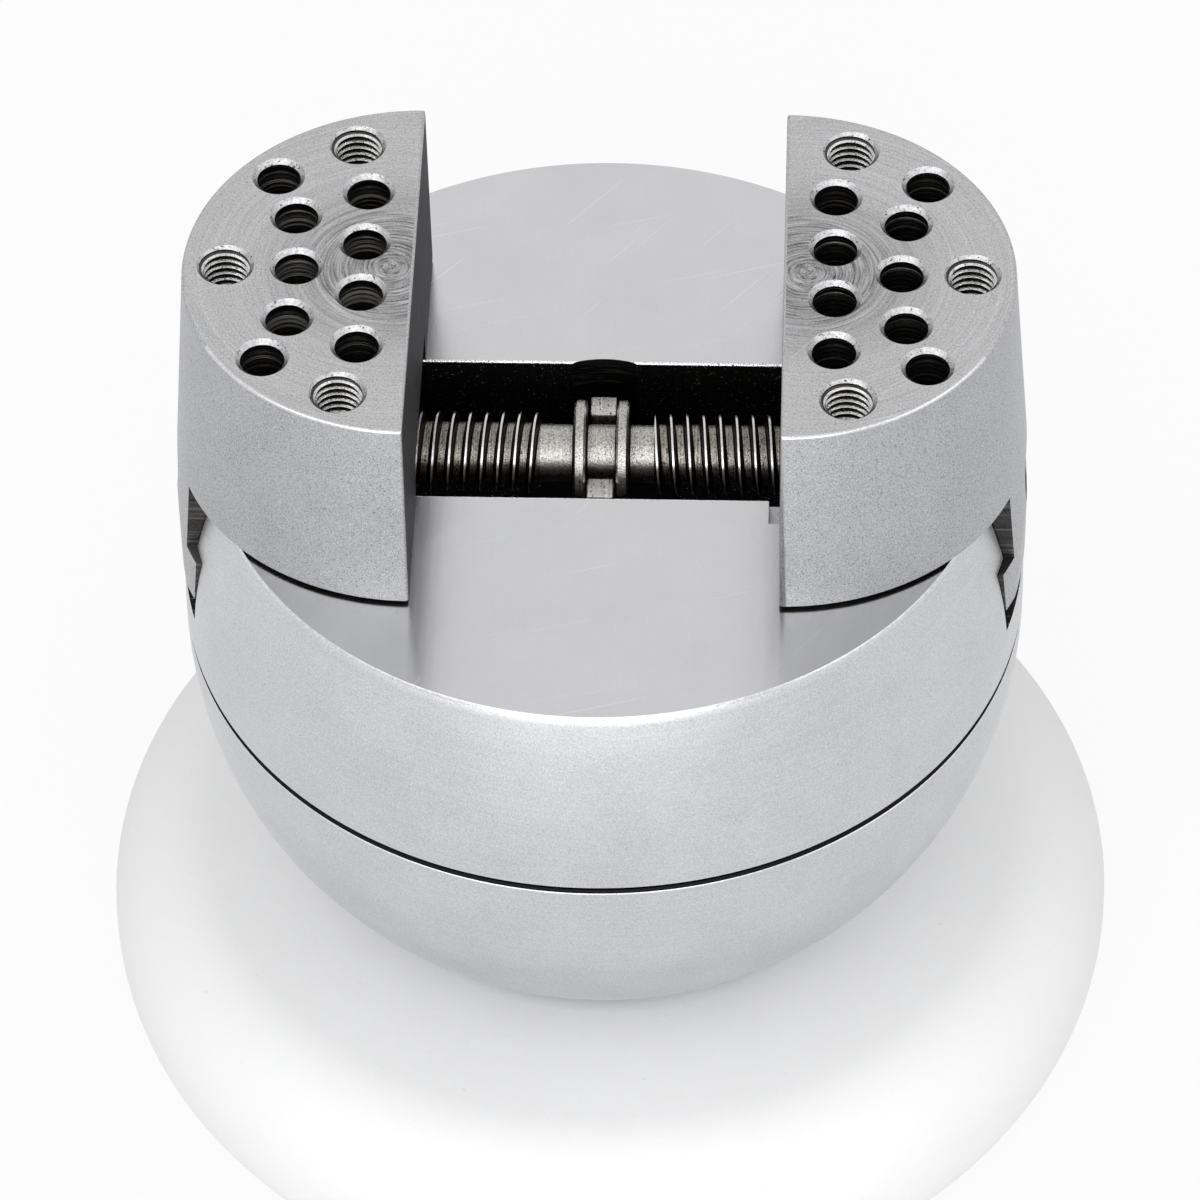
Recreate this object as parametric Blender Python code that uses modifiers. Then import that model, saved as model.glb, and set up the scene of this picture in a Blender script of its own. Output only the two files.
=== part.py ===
"""A ball vise: a steel ball in a ring pad, a turntable on its upper half, and two drilled jaws on one screw.

The ball stands in the ring and tilts in it. The turntable turns on a thrust bearing. A screw with a
left-hand and a right-hand end lies in the turntable's T-slot and moves both jaws at once.
X is the jaws' travel, +Y points away from the front, +Z is up, and the origin is under the ring's middle.
"""

import math

import bmesh
import bpy
from mathutils import Matrix, Vector

# Clearances, in metres like every length here
GAP = 0.0003
OVERRUN = 0.001

# Ring pad
RING_OUTER_RADIUS = 0.0803
RING_INNER_RADIUS = 0.0278
RING_HEIGHT = 0.0375
RING_LIP_ROUND = 0.0155
RING_SHOULDER_ROUND = 0.0158
RING_FOOT_ROUND = 0.0198
RING_BORE_ROUND = 0.0030

# Ball and turntable
BALL_RADIUS = 0.0650
SEAM_RISE = 0.0014
SEAM_GAP = 0.0005
SEAM_CHAMFER = 0.0005
TOP_RISE = 0.0337
RIM_DRAW = 0.0053
RIM_CHAMFER = 0.0004

# T-slot across the turntable
SLOT_HALF_WIDTH = 0.0144
SLOT_LIP = 0.0120
SLOT_GROOVE_HALF_WIDTH = 0.0180
SLOT_GROOVE_HEIGHT = 0.0123
EDGE_NOTCH_START = 0.0257
EDGE_NOTCH_LENGTH = 0.0060
EDGE_NOTCH_WIDTH = 0.0050
EDGE_NOTCH_DEPTH = 0.0015

# Screw with a left-hand end and a right-hand end
SCREW_DROP = 0.0051
SCREW_CREST_RADIUS = 0.0061
SCREW_ROOT_RADIUS = 0.0044
SCREW_END_SETBACK = 0.0050
SCREW_END_CHAMFER = 0.0012
COLLAR_RADIUS = 0.0081
COLLAR_WIDTH = 0.0018
COLLAR_CHAMFER = 0.0003
SHOULDER_LENGTH_LEFT = 0.0052
SHOULDER_LENGTH_RIGHT = 0.0039
DRIVE_SQUARE_WIDTH = 0.0060
DRIVE_SQUARE_LENGTH = 0.0080

# Fork that holds the screw endways, in one piece with the turntable's spindle
FORK_THICKNESS = 0.0041
FORK_HALF_WIDTH = 0.0108
FORK_SLOT_RADIUS = 0.0068
FORK_RISE = 0.0015
FORK_CORNER_ROUND = 0.0005
FLANGE_RADIUS = 0.0129
FLANGE_THICKNESS = 0.0065
POCKET_RADIUS = 0.0143
POCKET_SETBACK = 0.0010
POCKET_DEPTH = 0.0033
SPINDLE_RADIUS = 0.0060
SPINDLE_END_CHAMFER = 0.0010

# Cap screws that hold the flange down
CAP_SCREW_PLACE = 0.0088
CAP_SCREW_RADIUS = 0.0020
CAP_HEAD_RADIUS = 0.0034
CAP_HEAD_HEIGHT = 0.0040
CAP_HEAD_SINK = 0.0002
CAP_SOCKET_RADIUS = 0.0017
CAP_SOCKET_DEPTH = 0.0020

# Jaws
JAW_EDGE_SETBACK = 0.00035
JAW_TOP_RADIUS = 0.0346
JAW_DRAW = 0.0025
JAW_HEIGHT = 0.0331
JAW_LIFT = 0.0007
JAW_TOP_CHAMFER = 0.0006
NECK_CLEARANCE = 0.0005
NECK_SETBACK = 0.0062
NOSE_RELIEF_HEIGHT = 0.0050
FOOT_CLEARANCE = 0.0004
FOOT_THICKNESS = 0.0078
SCREW_BORE_CLEARANCE = 0.0003

# Holes in the jaws' tops: places are shares of the jaw's top radius, out from the inner face and along it
PIN_BORE_RADIUS = 0.0033
PIN_MOUTH_RADIUS = 0.0040
PIN_DEPTH = 0.0140
PIN_PLACE_SHARES = ((0.220, 0.157), (0.220, 0.472), (0.506, 0.0), (0.526, 0.316), (0.618, 0.561))
TAP_BORE_RADIUS = 0.0037
TAP_MOUTH_RADIUS = 0.0043
TAP_DEPTH = 0.0180
TAP_PLACE_SHARES = ((0.283, 0.766), (0.812, 0.0))
DRILL_POINT_SHARE = 0.58

# Thrust bearing between the ball and the turntable
RACE_OUTER_RADIUS = 0.0300
RACE_WIDTH = 0.0097
RACE_THICKNESS = 0.0026
RACE_FACE_DISTANCE = 0.0045
RACE_RECESS_DEPTH = 0.0010
BEARING_BALL_RADIUS = 0.0030
BEARING_BALLS = 12
CAGE_HALF_WIDTH = 0.0042
CAGE_THICKNESS = 0.0020

# Bush, washer, springs, nut and plug in the ball
BUSH_WALL = 0.0026
BUSH_END_SETBACK = 0.0060
BUSH_FLANGE_RADIUS = 0.0115
BUSH_FLANGE_THICKNESS = 0.0015
CELLAR_RADIUS = 0.0170
WASHER_RADIUS = 0.0140
WASHER_THICKNESS = 0.0020
SPRING_RADIUS = 0.0120
SPRING_THICKNESS = 0.0012
SPRING_CONE_HEIGHT = 0.0008
SPRINGS = 2
NUT_ACROSS_FLATS = 0.0190
NUT_HEIGHT = 0.0080
NUT_COLLAR_RADIUS = 0.0080
NUT_COLLAR_HEIGHT = 0.0025
SPINDLE_TAIL = 0.0015
PLUG_THICKNESS = 0.0083
PLUG_CLEAR_HEIGHT = 0.0015
SPANNER_HOLE_RADIUS = 0.0020
SPANNER_HOLE_PLACE = 0.0090
SPANNER_HOLE_DEPTH = 0.0030

# Facets
BODY_STEPS = 50
SHAFT_STEPS = 20
HOLE_STEPS = 12
ARC_POINTS = 6
BALL_SEGMENTS = 10
BALL_RINGS = 6
HEXAGON_SIDES = 6
SCREW_MERGE = 0.000001

# Heights worked out from the sizes above
LIP_CENTRE_RADIUS = RING_INNER_RADIUS + RING_LIP_ROUND
LIP_CENTRE_Z = RING_HEIGHT - RING_LIP_ROUND
SEAT_REACH = BALL_RADIUS + RING_LIP_ROUND + GAP
BALL_Z = LIP_CENTRE_Z + math.sqrt(SEAT_REACH**2 - LIP_CENTRE_RADIUS**2)
BALL_TOP_Z = BALL_Z + SEAM_RISE - SEAM_GAP / 2
TABLE_UNDER_Z = BALL_TOP_Z + SEAM_GAP
TABLE_TOP_Z = BALL_Z + TOP_RISE
GROOVE_CEILING_Z = TABLE_TOP_Z - SLOT_LIP
GROOVE_FLOOR_Z = GROOVE_CEILING_Z - SLOT_GROOVE_HEIGHT
POCKET_FLOOR_Z = GROOVE_FLOOR_Z - POCKET_DEPTH
SCREW_Z = TABLE_TOP_Z - SCREW_DROP
FLANGE_BOTTOM_Z = POCKET_FLOOR_Z + GAP
FLANGE_TOP_Z = FLANGE_BOTTOM_Z + FLANGE_THICKNESS
RACE_CEILING_Z = TABLE_UNDER_Z + RACE_RECESS_DEPTH
BEARING_HEIGHT = 2 * RACE_THICKNESS + RACE_FACE_DISTANCE
BEARING_FLOOR_Z = RACE_CEILING_Z - BEARING_HEIGHT - 2 * GAP
BEARING_BALL_Z = (RACE_CEILING_Z + BEARING_FLOOR_Z) / 2
RACE_INNER_RADIUS = RACE_OUTER_RADIUS - RACE_WIDTH
BEARING_BALL_PLACE = (RACE_OUTER_RADIUS + RACE_INNER_RADIUS) / 2
PLUG_TOP_Z = BALL_Z - BALL_RADIUS + PLUG_THICKNESS
SPINDLE_END_Z = PLUG_TOP_Z + PLUG_CLEAR_HEIGHT
NUT_TOP_Z = SPINDLE_END_Z + SPINDLE_TAIL + NUT_COLLAR_HEIGHT + NUT_HEIGHT
SPRING_HEIGHT = SPRING_THICKNESS + SPRING_CONE_HEIGHT
SPRING_TOP_Z = NUT_TOP_Z + SPRINGS * (SPRING_HEIGHT + GAP)
WASHER_TOP_Z = SPRING_TOP_Z + GAP + WASHER_THICKNESS
CELLAR_CEILING_Z = WASHER_TOP_Z + GAP
BUSH_OUTER_RADIUS = SPINDLE_RADIUS + GAP + BUSH_WALL
BUSH_END_Z = CELLAR_CEILING_Z + BUSH_END_SETBACK
RIM_RADIUS = BALL_RADIUS - RIM_DRAW
SCREW_REACH = BALL_RADIUS - SCREW_END_SETBACK
JAW_BOTTOM_RADIUS = JAW_TOP_RADIUS + JAW_DRAW
JAW_FACE_X = BALL_RADIUS - JAW_EDGE_SETBACK - JAW_BOTTOM_RADIUS
JAW_BOTTOM_Z = TABLE_TOP_Z + JAW_LIFT
JAW_TOP_Z = JAW_BOTTOM_Z + JAW_HEIGHT
FOOT_TOP_Z = GROOVE_CEILING_Z - GAP
FOOT_BOTTOM_Z = FOOT_TOP_Z - FOOT_THICKNESS
JAW_TAPER = JAW_DRAW / JAW_HEIGHT
FOOT_RADIUS = JAW_BOTTOM_RADIUS + JAW_TAPER * (JAW_BOTTOM_Z - FOOT_BOTTOM_Z)
NECK_HALF_WIDTH = SLOT_HALF_WIDTH - NECK_CLEARANCE
FOOT_HALF_WIDTH = SLOT_GROOVE_HALF_WIDTH - FOOT_CLEARANCE
COLLAR_INNER_X = FORK_THICKNESS / 2 + GAP
COLLAR_OUTER_X = COLLAR_INNER_X + COLLAR_WIDTH

ORIGIN = (0.0, 0.0, 0.0)


def clear_scene():
    """Removes whatever the scene holds."""
    for obj in list(bpy.data.objects):
        bpy.data.objects.remove(obj, do_unlink=True)


def new_collection(name, hidden=False):
    """Adds a collection to the scene."""
    collection = bpy.data.collections.new(name)
    collection.hide_render = hidden
    bpy.context.scene.collection.children.link(collection)
    return collection


def new_material(name, colour, roughness, metallic):
    """Makes a Principled material of one colour."""
    material = bpy.data.materials.new(name)
    material.use_nodes = True
    shader = material.node_tree.nodes["Principled BSDF"]
    shader.inputs["Base Color"].default_value = (*colour, 1.0)
    shader.inputs["Roughness"].default_value = roughness
    shader.inputs["Metallic"].default_value = metallic
    return material


def new_empty(name, place, parent=None):
    """Adds an empty on a joint's axis, at a place in the world."""
    empty = bpy.data.objects.new(name, None)
    PIECES.objects.link(empty)
    set_parent(empty, parent, place)
    return empty


def set_parent(obj, parent, place):
    """Hangs an object on an unturned empty, with its origin at a place in the world."""
    offset = Vector(place)
    carrier = parent
    while carrier is not None:
        offset -= carrier.location
        carrier = carrier.parent
    obj.parent = parent
    obj.location = offset


def add_object(name, mesh, parent=None, place=ORIGIN, material=None):
    """Links a mesh as a piece, or as a hidden cutter when it has no material."""
    obj = bpy.data.objects.new(name, mesh)
    if material is None:
        CUTTERS.objects.link(obj)
        obj.hide_render = True
        obj.display_type = "WIRE"
    else:
        PIECES.objects.link(obj)
        mesh.materials.append(material)
    set_parent(obj, parent, place)
    return obj


def turned_mesh(name, profile, closed):
    """Makes a profile in the XZ plane, ready for a Screw modifier: outer side from top to bottom."""
    shape = bmesh.new()
    points = [shape.verts.new((radius, 0.0, height)) for radius, height in profile]
    for first, second in zip(points, points[1:]):
        shape.edges.new((first, second))
    if closed:
        shape.edges.new((points[-1], points[0]))
    mesh = bpy.data.meshes.new(name)
    shape.to_mesh(mesh)
    shape.free()
    return mesh


def turned(name, profile, closed=False, steps=SHAFT_STEPS, **placing):
    """Turns a profile about Z: closed for a ring, open where both ends lie on the axis."""
    obj = add_object(name, turned_mesh(name, profile, closed), **placing)
    screw = obj.modifiers.new("turn", "SCREW")
    screw.steps = steps
    screw.render_steps = steps
    screw.use_merge_vertices = True
    screw.merge_threshold = SCREW_MERGE
    screw.use_smooth_shade = True
    return obj


def arc(centre_radius, centre_height, radius, start, end, count=ARC_POINTS):
    """Points on an arc of a profile, from one angle to another, in radians above the outward direction."""
    angles = [start + (end - start) * step / count for step in range(count + 1)]
    return [(centre_radius + radius * math.cos(a), centre_height + radius * math.sin(a)) for a in angles]


def box(name, low, high, parent=None, place=ORIGIN, material=None):
    """Makes a box between two corners that are given from its origin."""
    shape = bmesh.new()
    bmesh.ops.create_cube(shape, size=1)
    low, high = Vector(low), Vector(high)
    size = high - low
    bmesh.ops.scale(shape, vec=size, verts=shape.verts)
    bmesh.ops.translate(shape, vec=(low + high) / 2, verts=shape.verts)
    mesh = bpy.data.meshes.new(name)
    shape.to_mesh(mesh)
    shape.free()
    return add_object(name, mesh, parent, place, material)


def rod_cutter(name, radius, low, high, sides=SHAFT_STEPS, turn=None, parent=None, place=ORIGIN):
    """Makes a round or many-sided cutter along Z between two heights, turned if need be."""
    shape = bmesh.new()
    bmesh.ops.create_cone(
        shape, cap_ends=True, segments=sides, radius1=radius, radius2=radius, depth=high - low
    )
    bmesh.ops.translate(shape, vec=(0.0, 0.0, (low + high) / 2), verts=shape.verts)
    if turn is not None:
        bmesh.ops.transform(shape, matrix=turn, verts=shape.verts)
    mesh = bpy.data.meshes.new(name)
    shape.to_mesh(mesh)
    shape.free()
    return add_object(name, mesh, parent, place)


def prism_along_x(name, outline, start, end, parent=None, place=ORIGIN):
    """Extrudes a flat outline of (y, z) points along X, as a filled curve made into a mesh cutter."""
    curve = bpy.data.curves.new(name, "CURVE")
    curve.dimensions = "2D"
    curve.fill_mode = "BOTH"
    curve.extrude = (end - start) / 2
    spline = curve.splines.new("POLY")
    spline.points.add(len(outline) - 1)
    for point, (across, height) in zip(spline.points, outline):
        point.co = (across, height, 0.0, 1.0)
    spline.use_cyclic_u = True
    guide = bpy.data.objects.new(name + "_outline", curve)
    CUTTERS.objects.link(guide)
    bpy.context.view_layer.update()
    mesh = bpy.data.meshes.new_from_object(guide.evaluated_get(bpy.context.evaluated_depsgraph_get()))
    bpy.data.objects.remove(guide)
    shape = bmesh.new()
    shape.from_mesh(mesh)
    bmesh.ops.remove_doubles(shape, verts=shape.verts, dist=SCREW_MERGE)
    stand_up = Matrix(((0, 0, 1, (start + end) / 2), (1, 0, 0, 0), (0, 1, 0, 0), (0, 0, 0, 1)))
    bmesh.ops.transform(shape, matrix=stand_up, verts=shape.verts)
    bmesh.ops.recalc_face_normals(shape, faces=shape.faces)
    shape.to_mesh(mesh)
    shape.free()
    return add_object(name, mesh, parent, place)


def combine(target, other, operation="DIFFERENCE"):
    """Adds a Boolean of one object, or of a collection of them."""
    modifier = target.modifiers.new(operation.lower(), "BOOLEAN")
    modifier.operation = operation
    modifier.solver = "EXACT"
    if isinstance(other, bpy.types.Collection):
        modifier.operand_type = "COLLECTION"
        modifier.collection = other
    else:
        modifier.object = other
    return modifier


def stepped_outline(narrow, wide, bottom, step, top):
    """A T lying across the X axis: wide below the step and narrow above it."""
    return [
        (-wide, bottom), (wide, bottom), (wide, step), (narrow, step),
        (narrow, top), (-narrow, top), (-narrow, step), (-wide, step),
    ]


def build_ring(parent):
    """The rounded ring pad that the ball rests in, on the rounding of its inner lip."""
    shoulder_z = RING_HEIGHT - RING_SHOULDER_ROUND
    quarter = math.pi / 2
    profile = arc(RING_OUTER_RADIUS - RING_SHOULDER_ROUND, shoulder_z, RING_SHOULDER_ROUND, quarter, 0)
    profile += arc(RING_OUTER_RADIUS - RING_FOOT_ROUND, RING_FOOT_ROUND, RING_FOOT_ROUND, 0, -quarter)
    bore_round_radius = RING_INNER_RADIUS + RING_BORE_ROUND
    profile += arc(bore_round_radius, RING_BORE_ROUND, RING_BORE_ROUND, -quarter, -math.pi, ARC_POINTS // 2)
    profile += arc(LIP_CENTRE_RADIUS, LIP_CENTRE_Z, RING_LIP_ROUND, math.pi, quarter)
    return turned("base_ring", profile, True, BODY_STEPS, parent=parent, material=RUBBER)


def build_ball_base(parent):
    """The lower part of the ball: bearing pocket on top, bush bore, and a cellar for the nut below."""
    top = BALL_TOP_Z - BALL_Z
    cellar = CELLAR_CEILING_Z - BALL_Z
    floor = BEARING_FLOOR_Z - BALL_Z
    mouth_radius = CELLAR_RADIUS + GAP
    start = math.asin((top - SEAM_CHAMFER) / BALL_RADIUS)
    end = -math.acos(mouth_radius / BALL_RADIUS)
    profile = [(BALL_RADIUS - SEAM_CHAMFER, top)]
    profile += arc(0, 0, BALL_RADIUS, start, end, 2 * ARC_POINTS)
    profile += [
        (mouth_radius, cellar),
        (BUSH_OUTER_RADIUS + GAP, cellar),
        (BUSH_OUTER_RADIUS + GAP, floor),
        (RACE_OUTER_RADIUS + GAP, floor),
        (RACE_OUTER_RADIUS + GAP, top),
    ]
    return turned(
        "ball_base", profile, True, BODY_STEPS, parent=parent, place=(0, 0, BALL_Z), material=SATIN_STEEL
    )


def build_bottom_plug(parent):
    """The plug that closes the cellar and carries on the ball's round, with two spanner holes."""
    top = PLUG_TOP_Z - BALL_Z
    start = -math.acos(CELLAR_RADIUS / BALL_RADIUS)
    profile = [(0, top), (CELLAR_RADIUS, top)] + arc(0, 0, BALL_RADIUS, start, -math.pi / 2)
    profile[-1] = (0, -BALL_RADIUS)
    plug = turned("bottom_plug", profile, parent=parent, place=(0, 0, BALL_Z), material=SATIN_STEEL)
    holes = bpy.data.collections.new("spanner_holes")
    CUTTERS.children.link(holes)
    face = -math.sqrt(BALL_RADIUS**2 - SPANNER_HOLE_PLACE**2)
    for side in (-1, 1):
        cutter = rod_cutter(
            "spanner_hole", SPANNER_HOLE_RADIUS, face - OVERRUN, face + SPANNER_HOLE_DEPTH, HOLE_STEPS,
            parent=parent, place=(side * SPANNER_HOLE_PLACE, 0, BALL_Z),
        )
        holes.objects.link(cutter)
    combine(plug, holes)
    return plug


def build_bush(parent):
    """The flanged bronze bush that the spindle turns in."""
    bore = SPINDLE_RADIUS + GAP
    flange_top = BEARING_FLOOR_Z + GAP + BUSH_FLANGE_THICKNESS
    profile = [
        (BUSH_FLANGE_RADIUS, flange_top),
        (BUSH_FLANGE_RADIUS, BEARING_FLOOR_Z + GAP),
        (BUSH_OUTER_RADIUS, BEARING_FLOOR_Z + GAP),
        (BUSH_OUTER_RADIUS, BUSH_END_Z),
        (bore, BUSH_END_Z),
        (bore, flange_top),
    ]
    return turned("spindle_bush", profile, True, parent=parent, material=BRONZE)


def build_race(name, face, back, parent):
    """A grooved bearing ring between its ball face and its back, either way up."""
    groove_radius = BEARING_BALL_RADIUS + GAP
    half_angle = math.acos((RACE_FACE_DISTANCE / 2) / groove_radius)
    down = -1 if back < face else 1
    middle = down * math.pi / 2
    groove = arc(
        BEARING_BALL_PLACE, BEARING_BALL_Z, groove_radius,
        middle + down * half_angle, middle - down * half_angle, ARC_POINTS // 2,
    )
    inner_face, outer_face = (RACE_INNER_RADIUS, face), (RACE_OUTER_RADIUS, face)
    inner_back, outer_back = (RACE_INNER_RADIUS, back), (RACE_OUTER_RADIUS, back)
    if down < 0:
        profile = [outer_face, outer_back, inner_back, inner_face] + groove
    else:
        profile = [outer_back, outer_face] + groove[::-1] + [inner_face, inner_back]
    return turned(name, profile, True, 2 * SHAFT_STEPS, parent=parent, material=BEARING_STEEL)


def build_bearing(ball_axis, cage_axis, table_axis):
    """The thrust bearing: two grooved rings, and a cage with its balls between them."""
    half = RACE_FACE_DISTANCE / 2
    lower_back = BEARING_FLOOR_Z + GAP
    upper_back = RACE_CEILING_Z - GAP
    build_race("bearing_race_lower", BEARING_BALL_Z - half, lower_back, ball_axis)
    build_race("bearing_race_upper", BEARING_BALL_Z + half, upper_back, table_axis)
    inner, outer = BEARING_BALL_PLACE - CAGE_HALF_WIDTH, BEARING_BALL_PLACE + CAGE_HALF_WIDTH
    top, bottom = CAGE_THICKNESS / 2, -CAGE_THICKNESS / 2
    cage = turned(
        "bearing_cage", [(outer, top), (outer, bottom), (inner, bottom), (inner, top)], True,
        2 * SHAFT_STEPS, parent=cage_axis, place=(0, 0, BEARING_BALL_Z), material=BRONZE,
    )
    windows = bpy.data.collections.new("cage_windows")
    CUTTERS.children.link(windows)
    ball = bmesh.new()
    bmesh.ops.create_uvsphere(
        ball, u_segments=BALL_SEGMENTS, v_segments=BALL_RINGS, radius=BEARING_BALL_RADIUS
    )
    ball_mesh = bpy.data.meshes.new("bearing_ball")
    ball.to_mesh(ball_mesh)
    ball.free()
    ball_mesh.materials.append(BEARING_STEEL)
    ball_mesh.shade_smooth()
    for number in range(BEARING_BALLS):
        angle = 2 * math.pi * number / BEARING_BALLS
        place = (BEARING_BALL_PLACE * math.cos(angle), BEARING_BALL_PLACE * math.sin(angle), BEARING_BALL_Z)
        piece = bpy.data.objects.new(f"bearing_ball_{number + 1:02d}", ball_mesh)
        PIECES.objects.link(piece)
        set_parent(piece, cage_axis, place)
        window = rod_cutter(
            "cage_window", BEARING_BALL_RADIUS + GAP, bottom - OVERRUN, top + OVERRUN, HOLE_STEPS,
            parent=cage_axis, place=place,
        )
        windows.objects.link(window)
    combine(cage, windows)


def table_profile():
    """The turntable's section: flat top, a full round side down to the seam, and the bearing recess."""
    top = TABLE_TOP_Z - BALL_Z
    under = TABLE_UNDER_Z - BALL_Z
    ceiling = RACE_CEILING_Z - BALL_Z
    side_end = under + SEAM_CHAMFER
    rim_z = top - RIM_CHAMFER
    fall = rim_z - side_end
    side_radius = (fall**2 + RIM_DRAW**2) / (2 * RIM_DRAW)
    side_angle = math.asin(fall / side_radius)
    hole = SPINDLE_RADIUS + GAP
    profile = [(RIM_RADIUS - RIM_CHAMFER, top)]
    profile += arc(BALL_RADIUS - side_radius, side_end, side_radius, side_angle, 0)
    profile += [
        (BALL_RADIUS - SEAM_CHAMFER, under),
        (RACE_OUTER_RADIUS + GAP, under),
        (RACE_OUTER_RADIUS + GAP, ceiling),
        (hole, ceiling),
        (hole, top),
    ]
    return profile


def build_turntable(parent):
    """The turntable, with its T-slot, the bored pocket behind the slot's middle and the front edge notch."""
    here = {"parent": parent, "place": (0, 0, BALL_Z)}
    table = turned("upper_body", table_profile(), True, BODY_STEPS, material=POLISHED_STEEL, **here)
    reach = BALL_RADIUS + OVERRUN
    above = TABLE_TOP_Z - BALL_Z + OVERRUN
    outline = stepped_outline(
        SLOT_HALF_WIDTH, SLOT_GROOVE_HALF_WIDTH,
        GROOVE_FLOOR_Z - BALL_Z, GROOVE_CEILING_Z - BALL_Z, above,
    )
    combine(table, prism_along_x("t_slot", outline, -reach, reach, **here))
    pocket = rod_cutter(
        "fork_pocket", POCKET_RADIUS, POCKET_FLOOR_Z - BALL_Z, above, 2 * SHAFT_STEPS,
        parent=parent, place=(0, POCKET_SETBACK, BALL_Z),
    )
    combine(table, pocket)
    for side in (-1, 1):
        hole = rod_cutter(
            "flange_tapping", CAP_SCREW_RADIUS + GAP, RACE_CEILING_Z - BALL_Z - OVERRUN,
            POCKET_FLOOR_Z - BALL_Z + OVERRUN, HOLE_STEPS,
            parent=parent, place=(side * CAP_SCREW_PLACE, 0, BALL_Z),
        )
        combine(table, hole)
    top = TABLE_TOP_Z - BALL_Z
    notch = box(
        "edge_notch",
        (EDGE_NOTCH_START, -SLOT_HALF_WIDTH - EDGE_NOTCH_WIDTH, top - EDGE_NOTCH_DEPTH),
        (EDGE_NOTCH_START + EDGE_NOTCH_LENGTH, -SLOT_HALF_WIDTH + OVERRUN, above),
        **here,
    )
    combine(table, notch)
    return table


def build_spindle(parent):
    """The spindle: a fork on top that straddles the screw, a flange, and a shaft down through the ball."""
    place = {"parent": parent, "place": (0, 0, FLANGE_TOP_Z)}
    bottom = FLANGE_BOTTOM_Z - FLANGE_TOP_Z
    end = SPINDLE_END_Z - FLANGE_TOP_Z
    profile = [
        (0, 0),
        (FLANGE_RADIUS, 0),
        (FLANGE_RADIUS, bottom),
        (SPINDLE_RADIUS, bottom),
        (SPINDLE_RADIUS, end + SPINDLE_END_CHAMFER),
        (SPINDLE_RADIUS - SPINDLE_END_CHAMFER, end),
        (0, end),
    ]
    spindle = turned("spindle", profile, steps=2 * SHAFT_STEPS, material=DARK_STEEL, **place)
    screw_height = SCREW_Z - FLANGE_TOP_Z
    fork_top = screw_height + FORK_RISE
    half = FORK_THICKNESS / 2
    plate = box(
        "fork_plate", (-half, -FORK_HALF_WIDTH, bottom / 2), (half, FORK_HALF_WIDTH, fork_top), **place
    )
    bevel = plate.modifiers.new("corners", "BEVEL")
    bevel.width = FORK_CORNER_ROUND
    bevel.segments = 2
    combine(spindle, plate, "UNION")
    reach = half + OVERRUN
    turn = Matrix.Rotation(math.pi / 2, 4, "Y")
    slot = rod_cutter("fork_round", FORK_SLOT_RADIUS, -reach, reach, turn=turn, parent=parent,
                      place=(0, 0, SCREW_Z))
    combine(spindle, slot)
    mouth = box(
        "fork_mouth", (-reach, -FORK_SLOT_RADIUS, screw_height), (reach, FORK_SLOT_RADIUS, fork_top + OVERRUN),
        **place,
    )
    combine(spindle, mouth)
    head_floor = -(CAP_HEAD_HEIGHT + CAP_HEAD_SINK + GAP)
    for side in (-1, 1):
        at = {"parent": parent, "place": (side * CAP_SCREW_PLACE, 0, FLANGE_TOP_Z)}
        combine(spindle, rod_cutter("head_seat", CAP_HEAD_RADIUS + GAP, head_floor, OVERRUN, HOLE_STEPS, **at))
        combine(spindle, rod_cutter(
            "screw_way", CAP_SCREW_RADIUS + GAP, bottom - OVERRUN, head_floor + OVERRUN, HOLE_STEPS, **at
        ))
    return spindle


def build_cap_screws(parent):
    """The two socket-head screws that hold the spindle's flange to the turntable."""
    head_bottom = -(CAP_HEAD_HEIGHT + CAP_HEAD_SINK)
    tip = RACE_CEILING_Z + GAP - FLANGE_TOP_Z
    for name, side in (("flange_screw_left", -1), ("flange_screw_right", 1)):
        at = {"parent": parent, "place": (side * CAP_SCREW_PLACE, 0, FLANGE_TOP_Z)}
        profile = [
            (0, -CAP_HEAD_SINK),
            (CAP_HEAD_RADIUS, -CAP_HEAD_SINK),
            (CAP_HEAD_RADIUS, head_bottom),
            (CAP_SCREW_RADIUS, head_bottom),
            (CAP_SCREW_RADIUS, tip),
            (0, tip),
        ]
        screw = turned(name, profile, steps=HOLE_STEPS, material=DARK_STEEL, **at)
        combine(screw, rod_cutter(
            "hex_socket", CAP_SOCKET_RADIUS, -CAP_HEAD_SINK - CAP_SOCKET_DEPTH, OVERRUN, HEXAGON_SIDES, **at
        ))


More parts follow.
